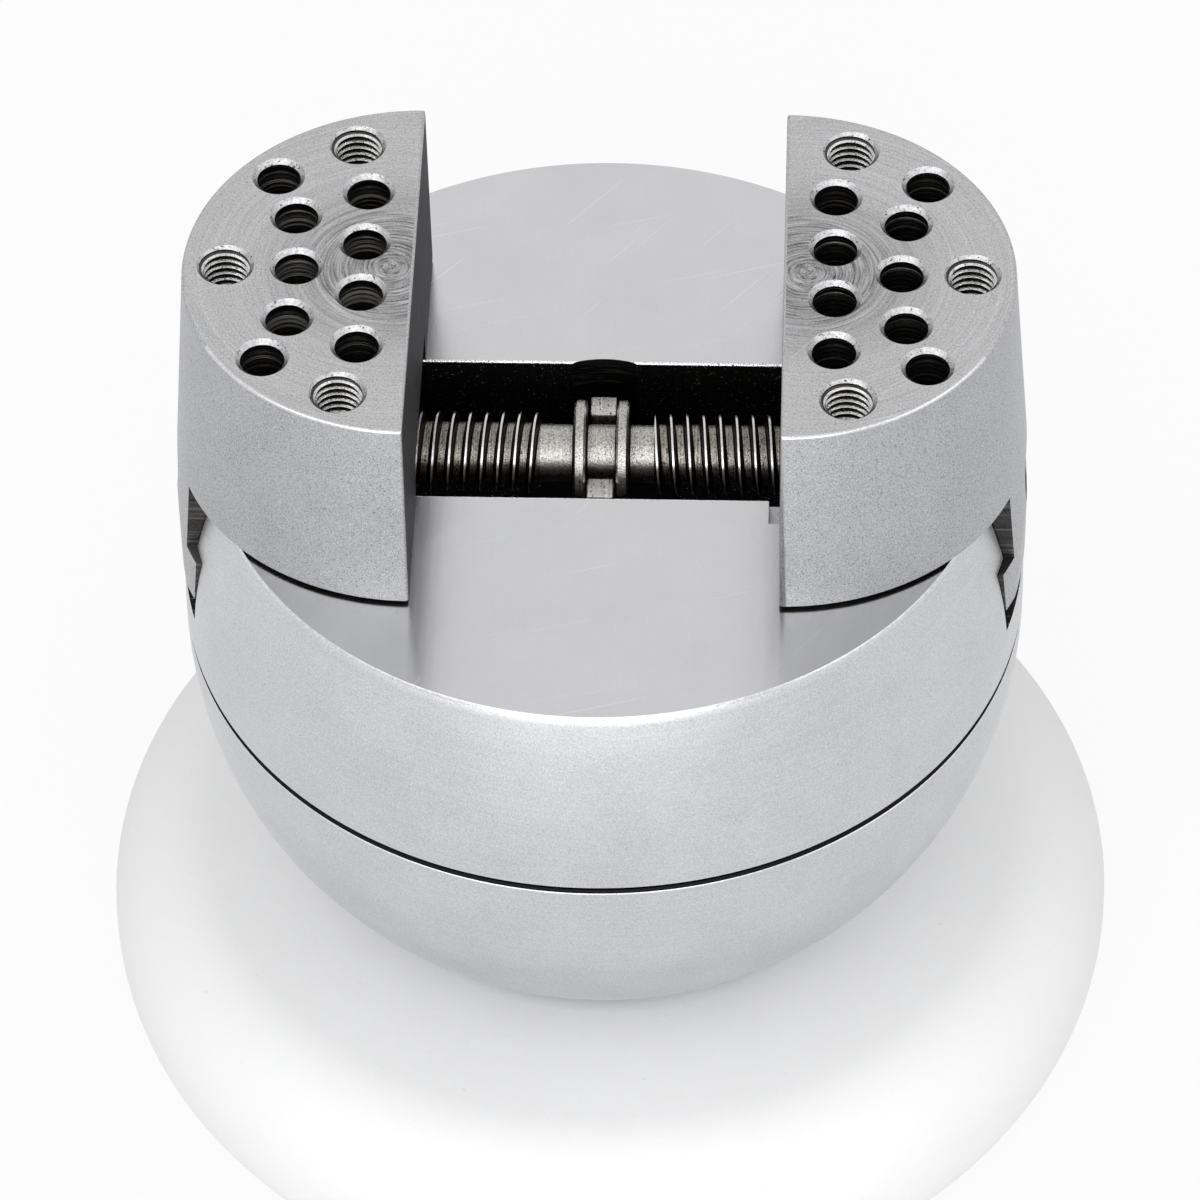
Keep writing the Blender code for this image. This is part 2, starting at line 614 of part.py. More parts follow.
def build_spindle_stack(parent):
    """What pulls the turntable down from inside the ball: washer, cupped springs and lock nut."""
    bore = SPINDLE_RADIUS + GAP
    washer = [
        (WASHER_RADIUS, 0), (WASHER_RADIUS, -WASHER_THICKNESS), (bore, -WASHER_THICKNESS), (bore, 0),
    ]
    turned("thrust_washer", washer, True, parent=parent, place=(0, 0, WASHER_TOP_Z), material=BRONZE)
    for number in range(SPRINGS):
        inner_drop, outer_drop = (0, SPRING_CONE_HEIGHT) if number % 2 == 0 else (SPRING_CONE_HEIGHT, 0)
        spring = [
            (SPRING_RADIUS, -outer_drop),
            (SPRING_RADIUS, -outer_drop - SPRING_THICKNESS),
            (bore, -inner_drop - SPRING_THICKNESS),
            (bore, -inner_drop),
        ]
        height = SPRING_TOP_Z - number * (SPRING_HEIGHT + GAP)
        turned(
            f"disc_spring_{number + 1}", spring, True, parent=parent, place=(0, 0, height),
            material=DARK_STEEL,
        )
    collar = [
        (NUT_COLLAR_RADIUS, -NUT_HEIGHT / 2),
        (NUT_COLLAR_RADIUS, -NUT_HEIGHT - NUT_COLLAR_HEIGHT),
        (0, -NUT_HEIGHT - NUT_COLLAR_HEIGHT),
    ]
    nut = turned(
        "lock_nut", [(0, -NUT_HEIGHT / 2)] + collar, parent=parent, place=(0, 0, NUT_TOP_Z), material=BRIGHT_STEEL
    )
    corner_radius = NUT_ACROSS_FLATS / 2 / math.cos(math.pi / HEXAGON_SIDES)
    hexagon = rod_cutter(
        "nut_hexagon", corner_radius, -NUT_HEIGHT, 0, HEXAGON_SIDES, parent=parent, place=(0, 0, NUT_TOP_Z)
    )
    combine(nut, hexagon, "UNION")
    way = rod_cutter(
        "nut_bore", bore, -NUT_HEIGHT - NUT_COLLAR_HEIGHT - OVERRUN, OVERRUN, parent=parent,
        place=(0, 0, NUT_TOP_Z),
    )
    combine(nut, way)


def collar_profile(side):
    """One collar of the screw in section, from its outer face to its inner one, beside the fork."""
    lip = COLLAR_RADIUS - COLLAR_CHAMFER
    points = [
        (lip, COLLAR_OUTER_X),
        (COLLAR_RADIUS, COLLAR_OUTER_X - COLLAR_CHAMFER),
        (COLLAR_RADIUS, COLLAR_INNER_X + COLLAR_CHAMFER),
        (lip, COLLAR_INNER_X),
    ]
    return [(SCREW_ROOT_RADIUS, COLLAR_OUTER_X), *points, (SCREW_ROOT_RADIUS, COLLAR_INNER_X)][::side]


def build_lead_screw(parent):
    """The screw: a left-hand half with a square to drive it, two collars, and a right-hand half.

    Its section runs from the driven end, at the left, to the plain end at the right.
    """
    left_thread = COLLAR_OUTER_X + SHOULDER_LENGTH_LEFT
    right_thread = COLLAR_OUTER_X + SHOULDER_LENGTH_RIGHT
    square_start = SCREW_REACH - DRIVE_SQUARE_LENGTH
    run_out = SCREW_CREST_RADIUS - SCREW_ROOT_RADIUS
    tip = SCREW_CREST_RADIUS - SCREW_END_CHAMFER
    profile = [
        (0, square_start),
        (tip, square_start),
        (SCREW_CREST_RADIUS, square_start - SCREW_END_CHAMFER),
        (SCREW_CREST_RADIUS, left_thread + run_out),
        (SCREW_ROOT_RADIUS, left_thread),
        *collar_profile(1),
        *[(radius, -along) for radius, along in collar_profile(-1)],
        (SCREW_ROOT_RADIUS, -right_thread),
        (SCREW_CREST_RADIUS, -right_thread - run_out),
        (SCREW_CREST_RADIUS, -SCREW_REACH + SCREW_END_CHAMFER),
        (tip, -SCREW_REACH),
        (0, -SCREW_REACH),
    ]
    screw = turned("lead_screw", profile, parent=parent, place=(0, 0, SCREW_Z), material=BRIGHT_STEEL)
    screw.rotation_euler = (0, -math.pi / 2, 0)
    turn = Matrix.Rotation(-math.pi / 2, 4, "Y") @ Matrix.Rotation(math.pi / 4, 4, "Z")
    square = rod_cutter(
        "drive_square", DRIVE_SQUARE_WIDTH / math.sqrt(2), square_start - OVERRUN, SCREW_REACH, 4,
        turn=turn, parent=parent, place=(0, 0, SCREW_Z),
    )
    combine(screw, square, "UNION")
    return screw


def hole_profile(bore, mouth, depth):
    """A drilled hole's section from its mouth down: countersink, bore and drill point."""
    return [
        (0, OVERRUN),
        (mouth + OVERRUN, OVERRUN),
        (bore, bore - mouth),
        (bore, -depth),
        (0, -depth - bore * DRILL_POINT_SHARE),
    ]


def hole_places(shares, side):
    """Where holes stand on a jaw's top, from the middle of its inner face, mirrored about that middle."""
    places = []
    for out_share, along_share in shares:
        mirrored = (-1, 1) if along_share else (1,)
        for end in mirrored:
            places.append((side * out_share * JAW_TOP_RADIUS, end * along_share * JAW_TOP_RADIUS))
    return places


def build_jaw(name, side, parent):
    """One jaw: a half cone on a T-shaped tongue that ends flush with the ball, bored and drilled."""
    face_x = side * JAW_FACE_X
    here = {"parent": parent, "place": (face_x, 0, JAW_BOTTOM_Z)}
    top = JAW_HEIGHT
    foot = FOOT_BOTTOM_Z - JAW_BOTTOM_Z
    profile = [
        (0, top),
        (JAW_TOP_RADIUS - JAW_TOP_CHAMFER, top),
        (JAW_TOP_RADIUS, top - JAW_TOP_CHAMFER),
        (FOOT_RADIUS, foot),
        (0, foot),
    ]
    jaw = turned(name, profile, steps=BODY_STEPS, material=BLASTED_STEEL, **here)
    wide = FOOT_RADIUS + OVERRUN
    foot_top = FOOT_TOP_Z - JAW_BOTTOM_Z
    tongue = [
        (-FOOT_HALF_WIDTH, foot - OVERRUN), (FOOT_HALF_WIDTH, foot - OVERRUN),
        (FOOT_HALF_WIDTH, foot_top), (NECK_HALF_WIDTH, foot_top),
        (NECK_HALF_WIDTH, 0), (wide, 0), (wide, top + OVERRUN), (-wide, top + OVERRUN),
        (-wide, 0), (-NECK_HALF_WIDTH, 0), (-NECK_HALF_WIDTH, foot_top), (-FOOT_HALF_WIDTH, foot_top),
    ]
    near, far = sorted((0, side * wide))
    combine(jaw, prism_along_x(name + "_outline", tongue, near, far, **here), "INTERSECT")
    end = rod_cutter(
        name + "_end", BALL_RADIUS, foot - OVERRUN, top + OVERRUN, BODY_STEPS, parent=parent,
        place=(0, 0, JAW_BOTTOM_Z),
    )
    combine(jaw, end, "INTERSECT")
    nose = stepped_outline(
        SLOT_HALF_WIDTH, FOOT_HALF_WIDTH + OVERRUN, foot - 2 * OVERRUN, foot_top / 2, NOSE_RELIEF_HEIGHT
    )
    near, far = sorted((-side * OVERRUN, side * NECK_SETBACK))
    combine(jaw, prism_along_x(name + "_nose", nose, near, far, **here))
    bore = rod_cutter(
        name + "_screw_bore", SCREW_CREST_RADIUS + SCREW_BORE_CLEARANCE, 0, FOOT_RADIUS + OVERRUN,
        turn=Matrix.Rotation(side * math.pi / 2, 4, "Y"), parent=parent, place=(face_x, 0, SCREW_Z),
    )
    combine(jaw, bore)
    holes = bpy.data.collections.new(name + "_holes")
    CUTTERS.children.link(holes)
    kinds = (
        (PIN_PLACE_SHARES, hole_profile(PIN_BORE_RADIUS, PIN_MOUTH_RADIUS, PIN_DEPTH)),
        (TAP_PLACE_SHARES, hole_profile(TAP_BORE_RADIUS, TAP_MOUTH_RADIUS, TAP_DEPTH)),
    )
    for shares, section in kinds:
        for out, along in hole_places(shares, side):
            cutter = turned(
                name + "_hole", section, steps=HOLE_STEPS, parent=parent,
                place=(face_x + out, along, JAW_TOP_Z),
            )
            holes.objects.link(cutter)
    combine(jaw, holes)
    return jaw


clear_scene()
PIECES = new_collection("ball_vise")
CUTTERS = new_collection("cutters", hidden=True)

RUBBER = new_material("pale_rubber", (0.72, 0.72, 0.71), 0.65, 0.0)
SATIN_STEEL = new_material("satin_steel", (0.58, 0.59, 0.61), 0.34, 1.0)
POLISHED_STEEL = new_material("polished_steel", (0.62, 0.63, 0.65), 0.22, 1.0)
BLASTED_STEEL = new_material("blasted_steel", (0.50, 0.51, 0.53), 0.48, 1.0)
BRIGHT_STEEL = new_material("bright_steel", (0.55, 0.54, 0.52), 0.20, 1.0)
DARK_STEEL = new_material("dark_steel", (0.20, 0.20, 0.21), 0.35, 1.0)
BEARING_STEEL = new_material("bearing_steel", (0.66, 0.66, 0.68), 0.12, 1.0)
BRONZE = new_material("bronze", (0.55, 0.36, 0.16), 0.35, 1.0)

ball_axis = new_empty("ball_tilt_axis", (0, 0, BALL_Z))
cage_axis = new_empty("bearing_cage_axis", (0, 0, BEARING_BALL_Z), ball_axis)
table_axis = new_empty("turntable_axis", (0, 0, TABLE_UNDER_Z), ball_axis)
screw_axis = new_empty("lead_screw_axis", (0, 0, SCREW_Z), table_axis)
left_slide = new_empty("left_jaw_slide", (-JAW_FACE_X, 0, JAW_BOTTOM_Z), table_axis)
right_slide = new_empty("right_jaw_slide", (JAW_FACE_X, 0, JAW_BOTTOM_Z), table_axis)

build_ring(None)
build_ball_base(ball_axis)
build_bottom_plug(ball_axis)
build_bush(ball_axis)
build_bearing(ball_axis, cage_axis, table_axis)
build_turntable(table_axis)
build_spindle(table_axis)
build_cap_screws(table_axis)
build_spindle_stack(table_axis)
build_lead_screw(screw_axis)
build_jaw("left_jaw", -1, left_slide)
build_jaw("right_jaw", 1, right_slide)
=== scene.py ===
"""The looks of a small ball vise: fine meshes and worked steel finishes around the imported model.

Every length is in metres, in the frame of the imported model: X is the jaws' travel, +Y points away from the
front, +Z is up, and the origin is on the bench under the middle of the ring pad.
"""

from __future__ import annotations

import logging
import math
from collections.abc import Callable, Iterable, Sequence
from dataclasses import dataclass, field, replace
from enum import Enum

import bmesh
import bpy
from mathutils import Matrix, Vector


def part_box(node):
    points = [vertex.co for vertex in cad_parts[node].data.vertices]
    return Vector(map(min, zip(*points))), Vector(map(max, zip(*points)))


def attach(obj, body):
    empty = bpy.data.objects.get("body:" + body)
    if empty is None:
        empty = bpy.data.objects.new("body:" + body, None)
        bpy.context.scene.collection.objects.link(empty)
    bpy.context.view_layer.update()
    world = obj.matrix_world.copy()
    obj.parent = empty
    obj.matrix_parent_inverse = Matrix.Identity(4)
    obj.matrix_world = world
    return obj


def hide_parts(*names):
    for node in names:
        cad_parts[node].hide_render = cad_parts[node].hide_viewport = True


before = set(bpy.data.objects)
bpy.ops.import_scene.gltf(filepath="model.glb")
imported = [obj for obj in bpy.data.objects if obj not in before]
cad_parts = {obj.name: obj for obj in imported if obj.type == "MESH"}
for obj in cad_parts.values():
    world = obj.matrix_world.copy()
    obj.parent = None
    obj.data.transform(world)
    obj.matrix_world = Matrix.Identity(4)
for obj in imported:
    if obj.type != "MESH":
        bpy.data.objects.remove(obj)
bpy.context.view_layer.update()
LOG = logging.getLogger("ball_vise")

Point = tuple[float, float]
Colour = tuple[float, float, float]
MERGE_DISTANCE = 1e-6
SHARP_ANGLE = math.radians(32)
SLIGHT_ANGLE = math.radians(4)
FLAT_AREA = 0.00005
NEAR_SURFACE_SHARE = 0.985
OVERRUN = 0.001
QUARTER = math.pi / 2


class Axis(Enum):
    """The axis that a round shape is turned about."""

    UP = "up"
    ACROSS = "across"


class Grain(Enum):
    """The marks that a tool leaves on steel."""

    TURNED = "rings at one height, round the middle"
    FACED = "rings on a flat top, round a centre"
    GROUND = "straight fine lines along Y"
    MILLED = "upright lines on a side face"
    BLASTED = "an even fine speckle"
    SHAFT = "rings round the screw"


class Signal:
    """A shader socket whose sums, products and powers add Math nodes."""

    def __init__(self, graph: Graph, socket: bpy.types.NodeSocket) -> None:
        """Wraps an output socket of a graph."""
        self.graph = graph
        self.socket = socket

    def math(self, operation: str, *others: Signal | float) -> Signal:
        """Works out one operation on this value.

        Args:
            operation: the Math node's operation.
            others: the values of its further sockets.

        Returns:
            The result.
        """
        inputs = dict(enumerate((self, *others)))
        return self.graph.node("ShaderNodeMath", {"operation": operation}, inputs)[0]

    def __add__(self, other: Signal | float) -> Signal:
        """Adds."""
        return self.math("ADD", other)

    def __sub__(self, other: Signal | float) -> Signal:
        """Subtracts."""
        return self.math("SUBTRACT", other)

    def __rsub__(self, other: float) -> Signal:
        """Subtracts this value from a number."""
        return self.math("MULTIPLY", -1.0).math("ADD", other)

    def __mul__(self, other: Signal | float) -> Signal:
        """Multiplies."""
        return self.math("MULTIPLY", other)

    def __pow__(self, other: float) -> Signal:
        """Raises to a power."""
        return self.math("POWER", other)

    __radd__ = __add__
    __rmul__ = __mul__

    def over(self, low: float, high: float) -> Signal:
        """Rises smoothly from 0 to 1 between two values.

        Args:
            low: the value at which it leaves 0.
            high: the value at which it reaches 1.

        Returns:
            The mask.
        """
        settings = {"interpolation_type": "SMOOTHSTEP"}
        inputs = {"Value": self, "From Min": low, "From Max": high}
        return self.graph.node("ShaderNodeMapRange", settings, inputs)[0]


class Graph:
    """The node tree of one material or world."""

    def __init__(self, owner: bpy.types.Material | bpy.types.World) -> None:
        """Empties the owner's node tree and takes it over."""
        owner.use_nodes = True
        self.tree = owner.node_tree
        self.tree.nodes.clear()

    def node(self, kind: str, settings: dict | None = None, inputs: dict | None = None) -> list[Signal]:
        """Adds a node.

        Args:
            kind: the node's type.
            settings: attributes that are set first.
            inputs: a value, a socket or a Signal for each input, by name or number.

        Returns:
            The node's outputs, in order.
        """
        node = self.tree.nodes.new(kind)
        for name, value in (settings or {}).items():
            setattr(node, name, value)
        for name, value in (inputs or {}).items():
            if isinstance(value, Signal):
                self.tree.links.new(value.socket, node.inputs[name])
            else:
                node.inputs[name].default_value = value
        return [Signal(self, socket) for socket in node.outputs]

    def place(self) -> tuple[Signal, Signal, Signal]:
        """Returns the Object coordinates as three numbers."""
        coordinates = self.node("ShaderNodeTexCoord")[3]
        x, y, z = self.node("ShaderNodeSeparateXYZ", None, {0: coordinates})
        return x, y, z

    def vector(self, x: Signal | float, y: Signal | float, z: Signal | float) -> Signal:
        """Joins three numbers into a vector."""
        return self.node("ShaderNodeCombineXYZ", None, {0: x, 1: y, 2: z})[0]

    def noise(self, where: Signal, scale: float, detail: float = 2.0, roughness: float = 0.5) -> Signal:
        """Reads a noise texture.

        Args:
            where: the vector at which it is read.
            scale: features for each unit of the vector.
            detail: octaves.
            roughness: how strong the fine octaves are.

        Returns:
            The noise, from 0 to 1, around 0.5.
        """
        inputs = {"Vector": where, "Scale": scale, "Detail": detail, "Roughness": roughness}
        return self.node("ShaderNodeTexNoise", None, inputs)[0]

    def finish(self, values: dict) -> None:
        """Adds the Principled shader and the output.

        Args:
            values: the shader's values or Signals, by socket name.
        """
        shader = self.node("ShaderNodeBsdfPrincipled", None, values)[0]
        self.node("ShaderNodeOutputMaterial", None, {0: shader})


@dataclass(frozen=True)
class Steel:
    """One worked steel surface."""

    name: str
    colour: Colour
    roughness: float
    grain: Grain
    grain_size: float = 0.0003
    grain_depth: float = 0.00001
    grain_shade: float = 0.10
    centre: Point = (0.0, 0.0)
    mottle: float = 0.3
    mottle_size: float = 0.0003
    pits: float = 0.0
    sparks: float = 0.0
    lines: float = 0.0
    blotches: float = 0.06
    scratches: float = 0.0
    metallic: float = 1.0
    edge_tint: float = 1.0
    relief: float = 0.00006

    def material(self) -> bpy.types.Material:
        """Makes the material, once.

        Returns:
            The material.
        """
        made = bpy.data.materials.get(self.name)
        if made:
            return made
        material = bpy.data.materials.new(self.name)
        graph = Graph(material)
        x, y, z = graph.place()
        marks = self._marks(graph, x, y, z)
        spot = graph.vector(x, y, z)
        cloud = graph.noise(spot, 90.0, 3.0)
        fine = graph.noise(spot, 1.0 / self.mottle_size, 3.0, 0.7)
        coarse = graph.noise(spot, 0.7 / self.mottle_size, 2.0)
        pit = coarse.over(0.60, 0.70) * self.pits
        spark = coarse.over(0.36, 0.28) * self.sparks
        scratch = self._scratches(graph, x, y)
        shade = 1.0 + (marks - 0.5) * (2.0 * self.grain_shade) + marks.over(0.54, 0.63) * self.lines
        shade = shade + (cloud - 0.5) * (2.0 * self.blotches) + (fine - 0.5) * (2.0 * self.mottle)
        level = (shade + scratch * 0.2) * (1.0 - pit) + spark
        if self.grain is Grain.FACED:
            level = level * (1.0 - self._middle(x, y).over(0.024, 0.004) * 0.40)
        grey = graph.vector(*(level * channel for channel in self.colour))
        rough = (marks - 0.5) * 0.10 + (cloud - 0.5) * 0.12 + pit * 0.2 + self.roughness
        height = marks * self.grain_depth + fine * (self.mottle * self.relief) - scratch * 0.00002
        bump = graph.node("ShaderNodeBump", None, {"Strength": 1.0, "Distance": 1.0, "Height": height})[0]
        tint = (self.edge_tint, self.edge_tint, self.edge_tint, 1.0)
        values = {"Base Color": grey, "Roughness": rough, "Metallic": self.metallic, "Normal": bump}
        graph.finish({**values, "Specular Tint": tint})
        return material

    def _marks(self, graph: Graph, x: Signal, y: Signal, z: Signal) -> Signal:
        """Draws the tool's marks.

        Args:
            graph: the material's graph.
            x: the place along X.
            y: the place along Y.
            z: the place along Z.

        Returns:
            A value around 0.5.
        """
        per_metre = 1.0 / self.grain_size
        if self.grain is Grain.BLASTED:
            return graph.noise(graph.vector(x, y, z), per_metre, 3.0, 0.7)
        if self.grain is Grain.GROUND:
            return graph.noise(graph.vector(x * per_metre, y * 60.0, z * 60.0), 1.0, 3.0, 0.7)
        if self.grain is Grain.MILLED:
            return graph.noise(graph.vector(x * per_metre, y * per_metre, z * 90.0), 1.0, 3.0, 0.7)
        if self.grain is Grain.SHAFT:
            around = y.math("ARCTAN2", z)
            return graph.noise(graph.vector(x * per_metre, around * 1.2, 0.0), 1.0, 3.0, 0.7)
        radius = self._middle(x, y)
        off_x = (x - self.centre[0]).math("DIVIDE", radius)
        off_y = (y - self.centre[1]).math("DIVIDE", radius)
        if self.grain is Grain.TURNED:
            return graph.noise(graph.vector(z * per_metre, off_x * 1.5, off_y * 1.5), 1.0, 3.0, 0.7)
        rings = graph.noise(graph.vector(radius * per_metre, off_x * 0.9, off_y * 0.9), 1.0, 3.0, 0.7)
        return (rings - 0.5) * (radius.over(0.017, 0.007) * 1.9 + 0.35) + 0.5

    def _middle(self, x: Signal, y: Signal) -> Signal:
        """Measures how far a place is from the marks' centre."""
        off_x, off_y = x - self.centre[0], y - self.centre[1]
        return (off_x * off_x + off_y * off_y).math("SQRT")

    def _scratches(self, graph: Graph, x: Signal, y: Signal) -> Signal:
        """Draws a few long thin scratches, in two directions.

        Args:
            graph: the material's graph.
            x: the place along X.
            y: the place along Y.

        Returns:
            A mask, 1 in a scratch.
        """
        if not self.scratches:
            return x * 0.0
        first = graph.noise(graph.vector((x + y * 0.3) * 22.0, (y - x * 0.3) * 1500.0, 0.0), 1.0, 1.0)
        second = graph.noise(graph.vector((x - y * 0.8) * 1300.0, (y + x * 0.8) * 30.0, 4.0), 1.0, 1.0)
        return (first.over(0.70, 0.76) + second.over(0.71, 0.77)) * self.scratches


@dataclass(frozen=True)
class PaleRubber:
    """The ring pad's pale matt rubber, with faint dust and soft grey smears."""

    name: str = "pale_rubber_finish"
    colour: Colour = (0.86, 0.86, 0.865)
    roughness: float = 0.62

    def material(self) -> bpy.types.Material:
        """Makes the material, once.

        Returns:
            The material.
        """
        made = bpy.data.materials.get(self.name)
        if made:
            return made
        material = bpy.data.materials.new(self.name)
        graph = Graph(material)
        spot = graph.vector(*graph.place())
        cloud = graph.noise(spot, 35.0, 4.0, 0.6)
        grit = graph.noise(spot, 2600.0, 2.0)
        speck = graph.noise(spot, 700.0, 2.0).over(0.74, 0.80)
        level = 1.0 + (cloud - 0.5) * 0.06 + (grit - 0.5) * 0.03 - speck * 0.10
        grey = graph.vector(*(level * channel for channel in self.colour))
        rough = (cloud - 0.5) * 0.2 + self.roughness
        height = grit * 0.00003 + cloud * 0.0002
        bump = graph.node("ShaderNodeBump", None, {"Strength": 1.0, "Distance": 1.0, "Height": height})[0]
        graph.finish({"Base Color": grey, "Roughness": rough, "Metallic": 0.0, "Normal": bump})
        return material


BALL_SIDE = Steel(
    "ball_side", (0.60, 0.605, 0.62), 0.42, Grain.TURNED, 0.00035, 0.000004, 0.10, mottle=0.55,
    mottle_size=0.00022, pits=0.12, blotches=0.09,
)
TABLE_SIDE = Steel(
    "table_side", (0.60, 0.605, 0.62), 0.42, Grain.TURNED, 0.0003, 0.000004, 0.10, mottle=0.55,
    mottle_size=0.00022, pits=0.12, blotches=0.09,
)
TABLE_TOP = Steel(
    "table_top", (0.59, 0.59, 0.605), 0.21, Grain.GROUND, 0.0006, 0.000002, 0.02, mottle=0.06,
    scratches=0.4,
)
# The slot's walls are bare steel painted near-black as shade, with pale specks.
SLOT_WALL_SHADE = Steel(
    "slot_wall_painted_shade", (0.030, 0.028, 0.026), 0.45, Grain.GROUND, 0.0004, 0.000008, 0.5, mottle=0.6,
    sparks=14.0,
)
# The slot's front wall is painted pale: a painted pool of light, which the screw shows as a bright reflection.
SLOT_FRONT_LIT = Steel("slot_front_painted_light", (0.80, 0.79, 0.77), 0.5, Grain.GROUND, 0.0004, 0.000008, 0.3, metallic=0.2)
# The pocket's wall and floor are painted near-black as shade, with bright turned rings.
POCKET_WALL_SHADE = Steel(
    "pocket_wall_painted_shade", (0.05, 0.047, 0.044), 0.35, Grain.TURNED, 0.0005, 0.00001, 0.8, lines=3.0,
)
# A paler, smoother edge finish: a painted highlight on the rims, the seam's lip, the collars' chamfers and the
# jaws' front edges.
EDGE_HIGHLIGHT = Steel("painted_edge_highlight", (0.64, 0.64, 0.65), 0.22, Grain.BLASTED, 0.0005, 0.000004, 0.3)
# The slot's rounded edges are painted near-white: a painted highlight, with pits.
SLOT_EDGE_HIGHLIGHT = Steel(
    "slot_edge_painted_highlight", (0.95, 0.95, 0.95), 0.22, Grain.BLASTED, 0.0003, 0.000004, 0.9, mottle=1.2, pits=1.0,
)
# Near-black painted shade: the ball's seam chamfer, the collars' undercuts and sides, and the spindle's shaft
# and flange.
PAINTED_SHADE = Steel("painted_shade", (0.012, 0.012, 0.012), 0.5, Grain.TURNED)
JAW_TOP = Steel(
    "jaw_top", (0.485, 0.485, 0.493), 0.34, Grain.FACED, 0.00036, 0.000008, 0.95, mottle=0.7,
    mottle_size=0.00024, pits=0.4, scratches=0.9,
)
JAW_SIDE = Steel(
    "jaw_side", (0.45, 0.453, 0.465), 0.44, Grain.BLASTED, 0.00028, 0.00001, 0.35, mottle=1.0,
    mottle_size=0.0002, pits=0.45, blotches=0.10,
)
JAW_INNER = Steel(
    "jaw_inner", (0.12, 0.12, 0.125), 0.55, Grain.MILLED, 0.0004, 0.00001, 0.7, mottle=0.5,
    edge_tint=0.4,
)
# The tongue, the jaw's underside, the nose and the bore are painted near-black: painted shade under the jaw.
JAW_TONGUE_SHADE = Steel(
    "jaw_tongue_painted_shade", (0.06, 0.058, 0.056), 0.40, Grain.TURNED, 0.0007, 0.00002, 1.2, mottle=0.8, lines=1.2,
)
# Hole walls are painted near-black as the shade inside the holes; the bright ring lines are painted glints on
# the reamer's rings.
HOLE_WALL_SHADE = Steel(
    "hole_wall_painted_shade", (0.07, 0.068, 0.065), 0.32, Grain.TURNED, 0.0005, 0.000010, 0.8, mottle=0.8, lines=8.0,
)
HOLE_MOUTH = Steel(
    "hole_mouth", (0.44, 0.44, 0.45), 0.30, Grain.BLASTED, 0.0009, 0.000004, 0.6, mottle=0.7, pits=0.9,
)
THREAD_CREST = Steel(
    "thread_crest", (0.58, 0.575, 0.57), 0.22, Grain.TURNED, 0.0002, 0.000004, 0.5, mottle=0.8,
    pits=0.7,
)
# Near-black painted shade in the tapped holes, on all but the inner half of each rib's upper flank.
TAP_THREAD_SHADE = Steel(
    "tap_thread_painted_shade", (0.06, 0.057, 0.054), 0.30, Grain.TURNED, 0.0002, 0.000004, 0.5, mottle=0.8,
)
SCREW_BODY = Steel(
    "screw_body", (0.24, 0.222, 0.198), 0.22, Grain.SHAFT, 0.00026, 0.000012, 2.2, mottle=1.4, pits=0.8,
)
# Near-black painted shade on the screw's thread flanks beside the crests.
SCREW_FLANK_SHADE = Steel(
    "screw_flank_painted_shade", (0.035, 0.031, 0.027), 0.35, Grain.SHAFT, 0.0003, 0.000006, 0.5, mottle=0.8,
)
SCREW_SMOOTH = Steel(
    "screw_smooth", (0.42, 0.41, 0.385), 0.20, Grain.SHAFT, 0.0003, 0.000006, 0.5, mottle=1.2, pits=0.6,
    relief=0.00008,
)
# A pale painted highlight along the screw's crests.
SCREW_CREST_HIGHLIGHT = Steel(
    "screw_crest_painted_highlight", (0.66, 0.645, 0.62), 0.26, Grain.SHAFT, 0.0003, 0.000004, 0.5, mottle=0.5,
)
FORK_FACE = Steel(
    "fork_face", (0.56, 0.545, 0.52), 0.28, Grain.GROUND, 0.0003, 0.000008, 0.6, mottle=1.0, pits=1.0,
    relief=0.00012,
)
DARK_STEEL = Steel("dark_steel_finish", (0.06, 0.06, 0.06), 0.40, Grain.TURNED, 0.0003, 0.000006, 0.4)
RACE_STEEL = Steel(
    "race_steel", (0.64, 0.64, 0.66), 0.10, Grain.TURNED, 0.0003, 0.000002, 0.08, mottle=0.05,
)
BRONZE_METAL = Steel("bronze_metal", (0.58, 0.37, 0.16), 0.30, Grain.TURNED, 0.0003, 0.000004, 0.2)
PAD_RUBBER = PaleRubber()


def arc(centre: Point, radius: float, start: float, end: float, count: int) -> list[Point]:
    """Walks along an arc.

    Args:
        centre: the arc's centre.
        radius: its radius.
        start: the first angle, in radians.
        end: the last angle.
        count: the number of steps.

    Returns:
        The points, both ends included.
    """
    angles = (start + (end - start) * step / count for step in range(count + 1))
    return [(centre[0] + radius * math.cos(a), centre[1] + radius * math.sin(a)) for a in angles]


